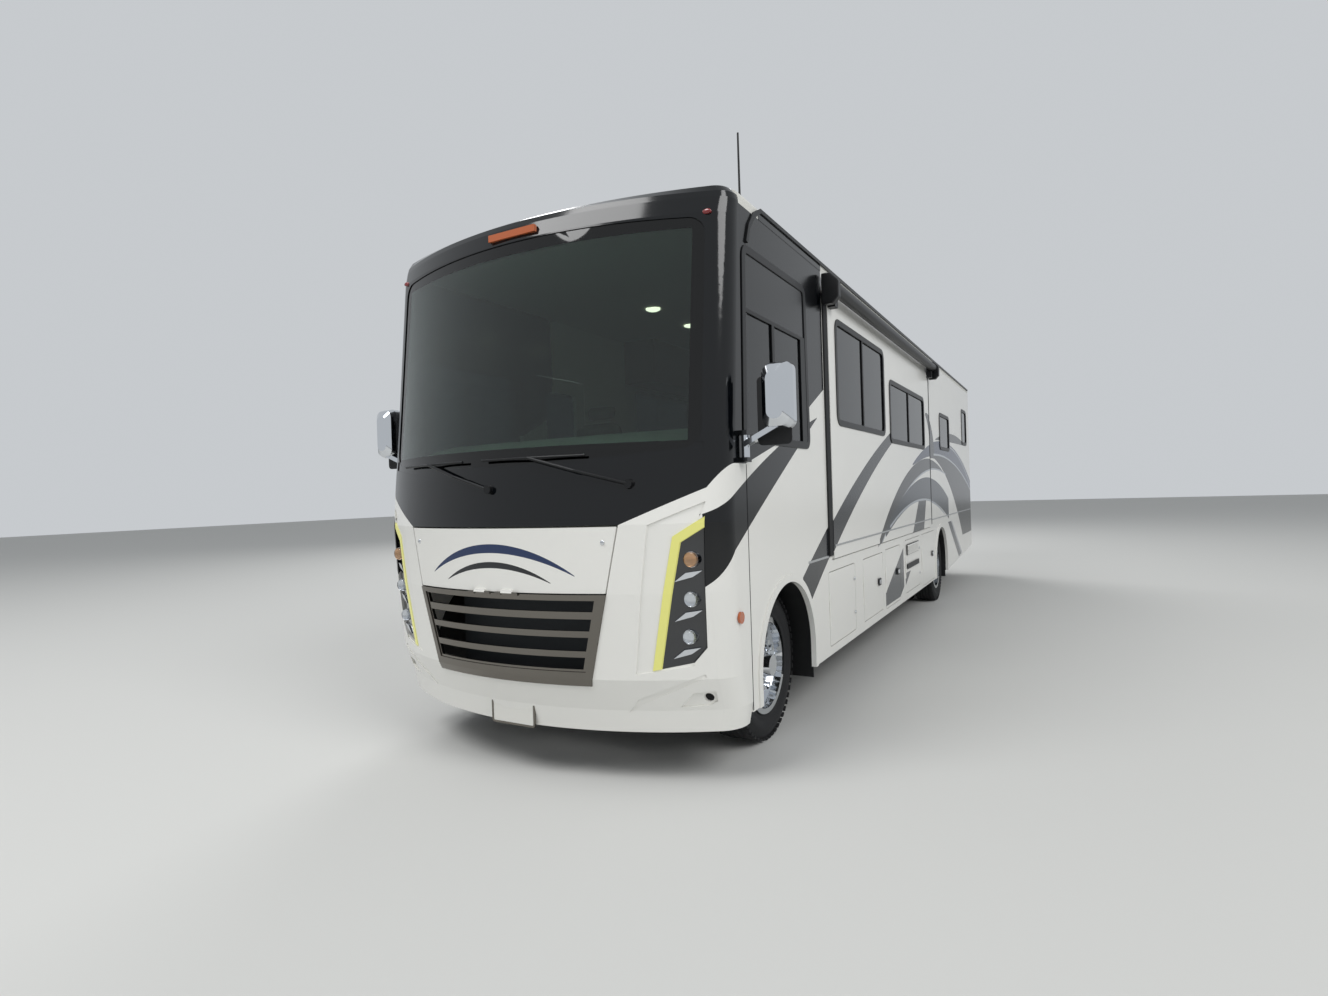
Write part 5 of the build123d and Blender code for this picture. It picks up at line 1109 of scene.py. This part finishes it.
def blown_up(obj):
    """The cushion after a cloth simulation with pressure, each point kept near its start."""
    remesh = obj.modifiers.new("voxels", "REMESH")
    remesh.mode, remesh.voxel_size = "VOXEL", VOXEL
    frozen(obj)
    rest = [v.co.copy() for v in obj.data.vertices]
    cloth = obj.modifiers.new("skin", "CLOTH")
    cloth.settings.use_pressure = True
    cloth.settings.uniform_pressure_force = CLOTH_PRESSURE
    cloth.settings.effector_weights.gravity = 0
    for step in range(1, CLOTH_FRAMES + 1):
        bpy.context.scene.frame_set(step)
    frozen(obj)
    for vertex, before in zip(obj.data.vertices, rest):
        move = vertex.co - before
        if move.length > MOST_SWELL:
            vertex.co = before + move.normalized() * MOST_SWELL
    bpy.context.scene.frame_set(1)


def sewn_channels(obj, middle_y, spacing):
    """Two narrow lines along the seat pressed into its skin."""
    for vertex in obj.data.vertices:
        for line in (middle_y - spacing / 2, middle_y + spacing / 2):
            depth = CHANNEL_DEPTH * math.exp(-((vertex.co.y - line) / CHANNEL_WIDTH) ** 2)
            vertex.co -= vertex.normal * depth


def mirrored(name, source):
    """The other seat's cushion: the same skin with its width turned over."""
    skin = source.data.copy()
    for vertex in skin.vertices:
        vertex.co.y = -vertex.co.y
    skin.flip_normals()
    return in_scene(name, skin)


# %% [markdown]
# The frame's seats are plain blocks. The steel stands take their place, so the blocks are hidden,
# and the cushions ride on the coach as padded pieces.

# %% Seats
STAND_HALF_WIDTH = 0.17
STAND = [(-0.52, 1.092), (-0.16, 1.092), (-0.20, 1.30), (-0.12, 1.412), (-0.56, 1.412), (-0.48, 1.30)]
for name, (ahead, z), length, width, height, lean, spacing in PADS:
    pad = cushion_block(f"seat_left_{name}", (station(ahead), SEAT_Y, z), (length, width, height), lean)
    blown_up(pad)
    detail = pad.modifiers.new("skin", "SUBSURF")
    detail.levels = detail.render_levels = 1
    skin = frozen(pad).data
    sewn_channels(pad, SEAT_Y, spacing)
    for face in skin.polygons:
        face.use_smooth = True
    if not skin.materials:
        skin.materials.append(made["stitched_leather"])
    for cushion in (pad, mirrored(f"seat_right_{name}", pad)):
        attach(cushion, "coach")
for side, hand in SIDE_NAMES.items():
    middle = side * SEAT_Y
    stand = slab(f"seat_{hand}_stand", stations(STAND), middle - STAND_HALF_WIDTH,
                 middle + STAND_HALF_WIDTH, "y", STEEL, "coach", bevel=0.008)
    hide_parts("cab_seats")
print("pads", 2 * len(PADS))

# %% [markdown]
# The stage is plain: a pale floor, a pale world and three soft round lamps. White walls clip easily,
# so the lamps stay low. The world is brighter to the camera, in reflections and through glass than it
# is as light, so gloss shows pale surroundings and the shadows keep their depth.

# %% Floor
FLOOR_HALF = 60
mesh = bpy.data.meshes.new("floor")
corners = box_outline(-FLOOR_HALF, FLOOR_HALF, -FLOOR_HALF, FLOOR_HALF)
mesh.from_pydata([(x, y, 0) for x, y in corners], [], [(0, 1, 2, 3)])
floor = in_scene("stage_floor", mesh)
pale = bpy.data.materials.new("pale_floor")
pale.use_nodes = True
pale.node_tree.nodes["Principled BSDF"].inputs["Base Color"].default_value = linear("#CFCFCC")
pale.node_tree.nodes["Principled BSDF"].inputs["Roughness"].default_value = 0.85
mesh.materials.append(pale)
print("floor width", 2 * FLOOR_HALF)

# %% World and lamps
world = bpy.data.worlds.new("studio")
bpy.context.scene.world = world
world.use_nodes = True
world.node_tree.nodes["Background"].inputs["Color"].default_value = linear("#E6EAEE")
# rays that see the bright backdrop, and the strengths as light and for those rays
SEEN_RAYS = ("Is Camera Ray", "Is Glossy Ray", "Is Transmission Ray")
LIT_STRENGTH, SEEN_STRENGTH = 0.5, 0.72
sky = world.node_tree
rays = add(sky, "LightPath").outputs
seen = rays[SEEN_RAYS[0]]
for ray in SEEN_RAYS[1:]:
    seen = reckon(sky, "MAXIMUM", seen, rays[ray])
strength = add(sky, "MapRange", {0: seen, 3: LIT_STRENGTH, 4: SEEN_STRENGTH}).outputs[0]
sky.links.new(strength, sky.nodes["Background"].inputs["Strength"])
# name, place, aim, size, watts
LAMPS = [
    ("key", (9, 14, 13), (1.5, 0, 1.5), 10, 1400),
    ("front", (14, -4, 15), (4, 0, 1.5), 9, 1350),
    ("back", (-13, -9, 11), (-2, 0, 1.5), 10, 1250),
]
for name, place, aim, size, watts in LAMPS:
    light = bpy.data.lights.new(name, "AREA")
    light.shape, light.size, light.energy = "DISK", size, watts
    lamp = in_scene(name, light)
    lamp.location = place
    lamp.rotation_euler = (Vector(aim) - Vector(place)).to_track_quat("-Z", "Y").to_euler()
print("lamps", len(LAMPS))

# %% [markdown]
# The camera stands where the photographer stood, near the front corner on the driver's side, with a
# wide lens held a little off level. Its place and angles were found from points on the photo whose
# real distances are known, such as the wheels.

# %% Camera
EYE = Vector((station(4.324), 2.831, 1.591))
YAW, PITCH, ROLL = math.radians(209.43), math.radians(-0.405), math.radians(-1.815)
FOCAL, SENSOR_WIDTH = 19.55, 36
ahead = Vector((math.cos(YAW) * math.cos(PITCH), math.sin(YAW) * math.cos(PITCH), math.sin(PITCH)))
level = ahead.cross(Vector((0, 0, 1))).normalized()
upright = level.cross(ahead)
right = math.cos(ROLL) * level + math.sin(ROLL) * upright
above = -math.sin(ROLL) * level + math.cos(ROLL) * upright
camera = in_scene("camera", bpy.data.cameras.new("camera"))
camera.data.lens, camera.data.sensor_width = FOCAL, SENSOR_WIDTH
camera.matrix_world = Matrix.Translation(EYE) @ Matrix((right, above, -ahead)).transposed().to_4x4()
bpy.context.scene.camera = camera
bpy.context.scene.view_settings.view_transform = "Standard"
print("camera height", round(EYE.z, 3))
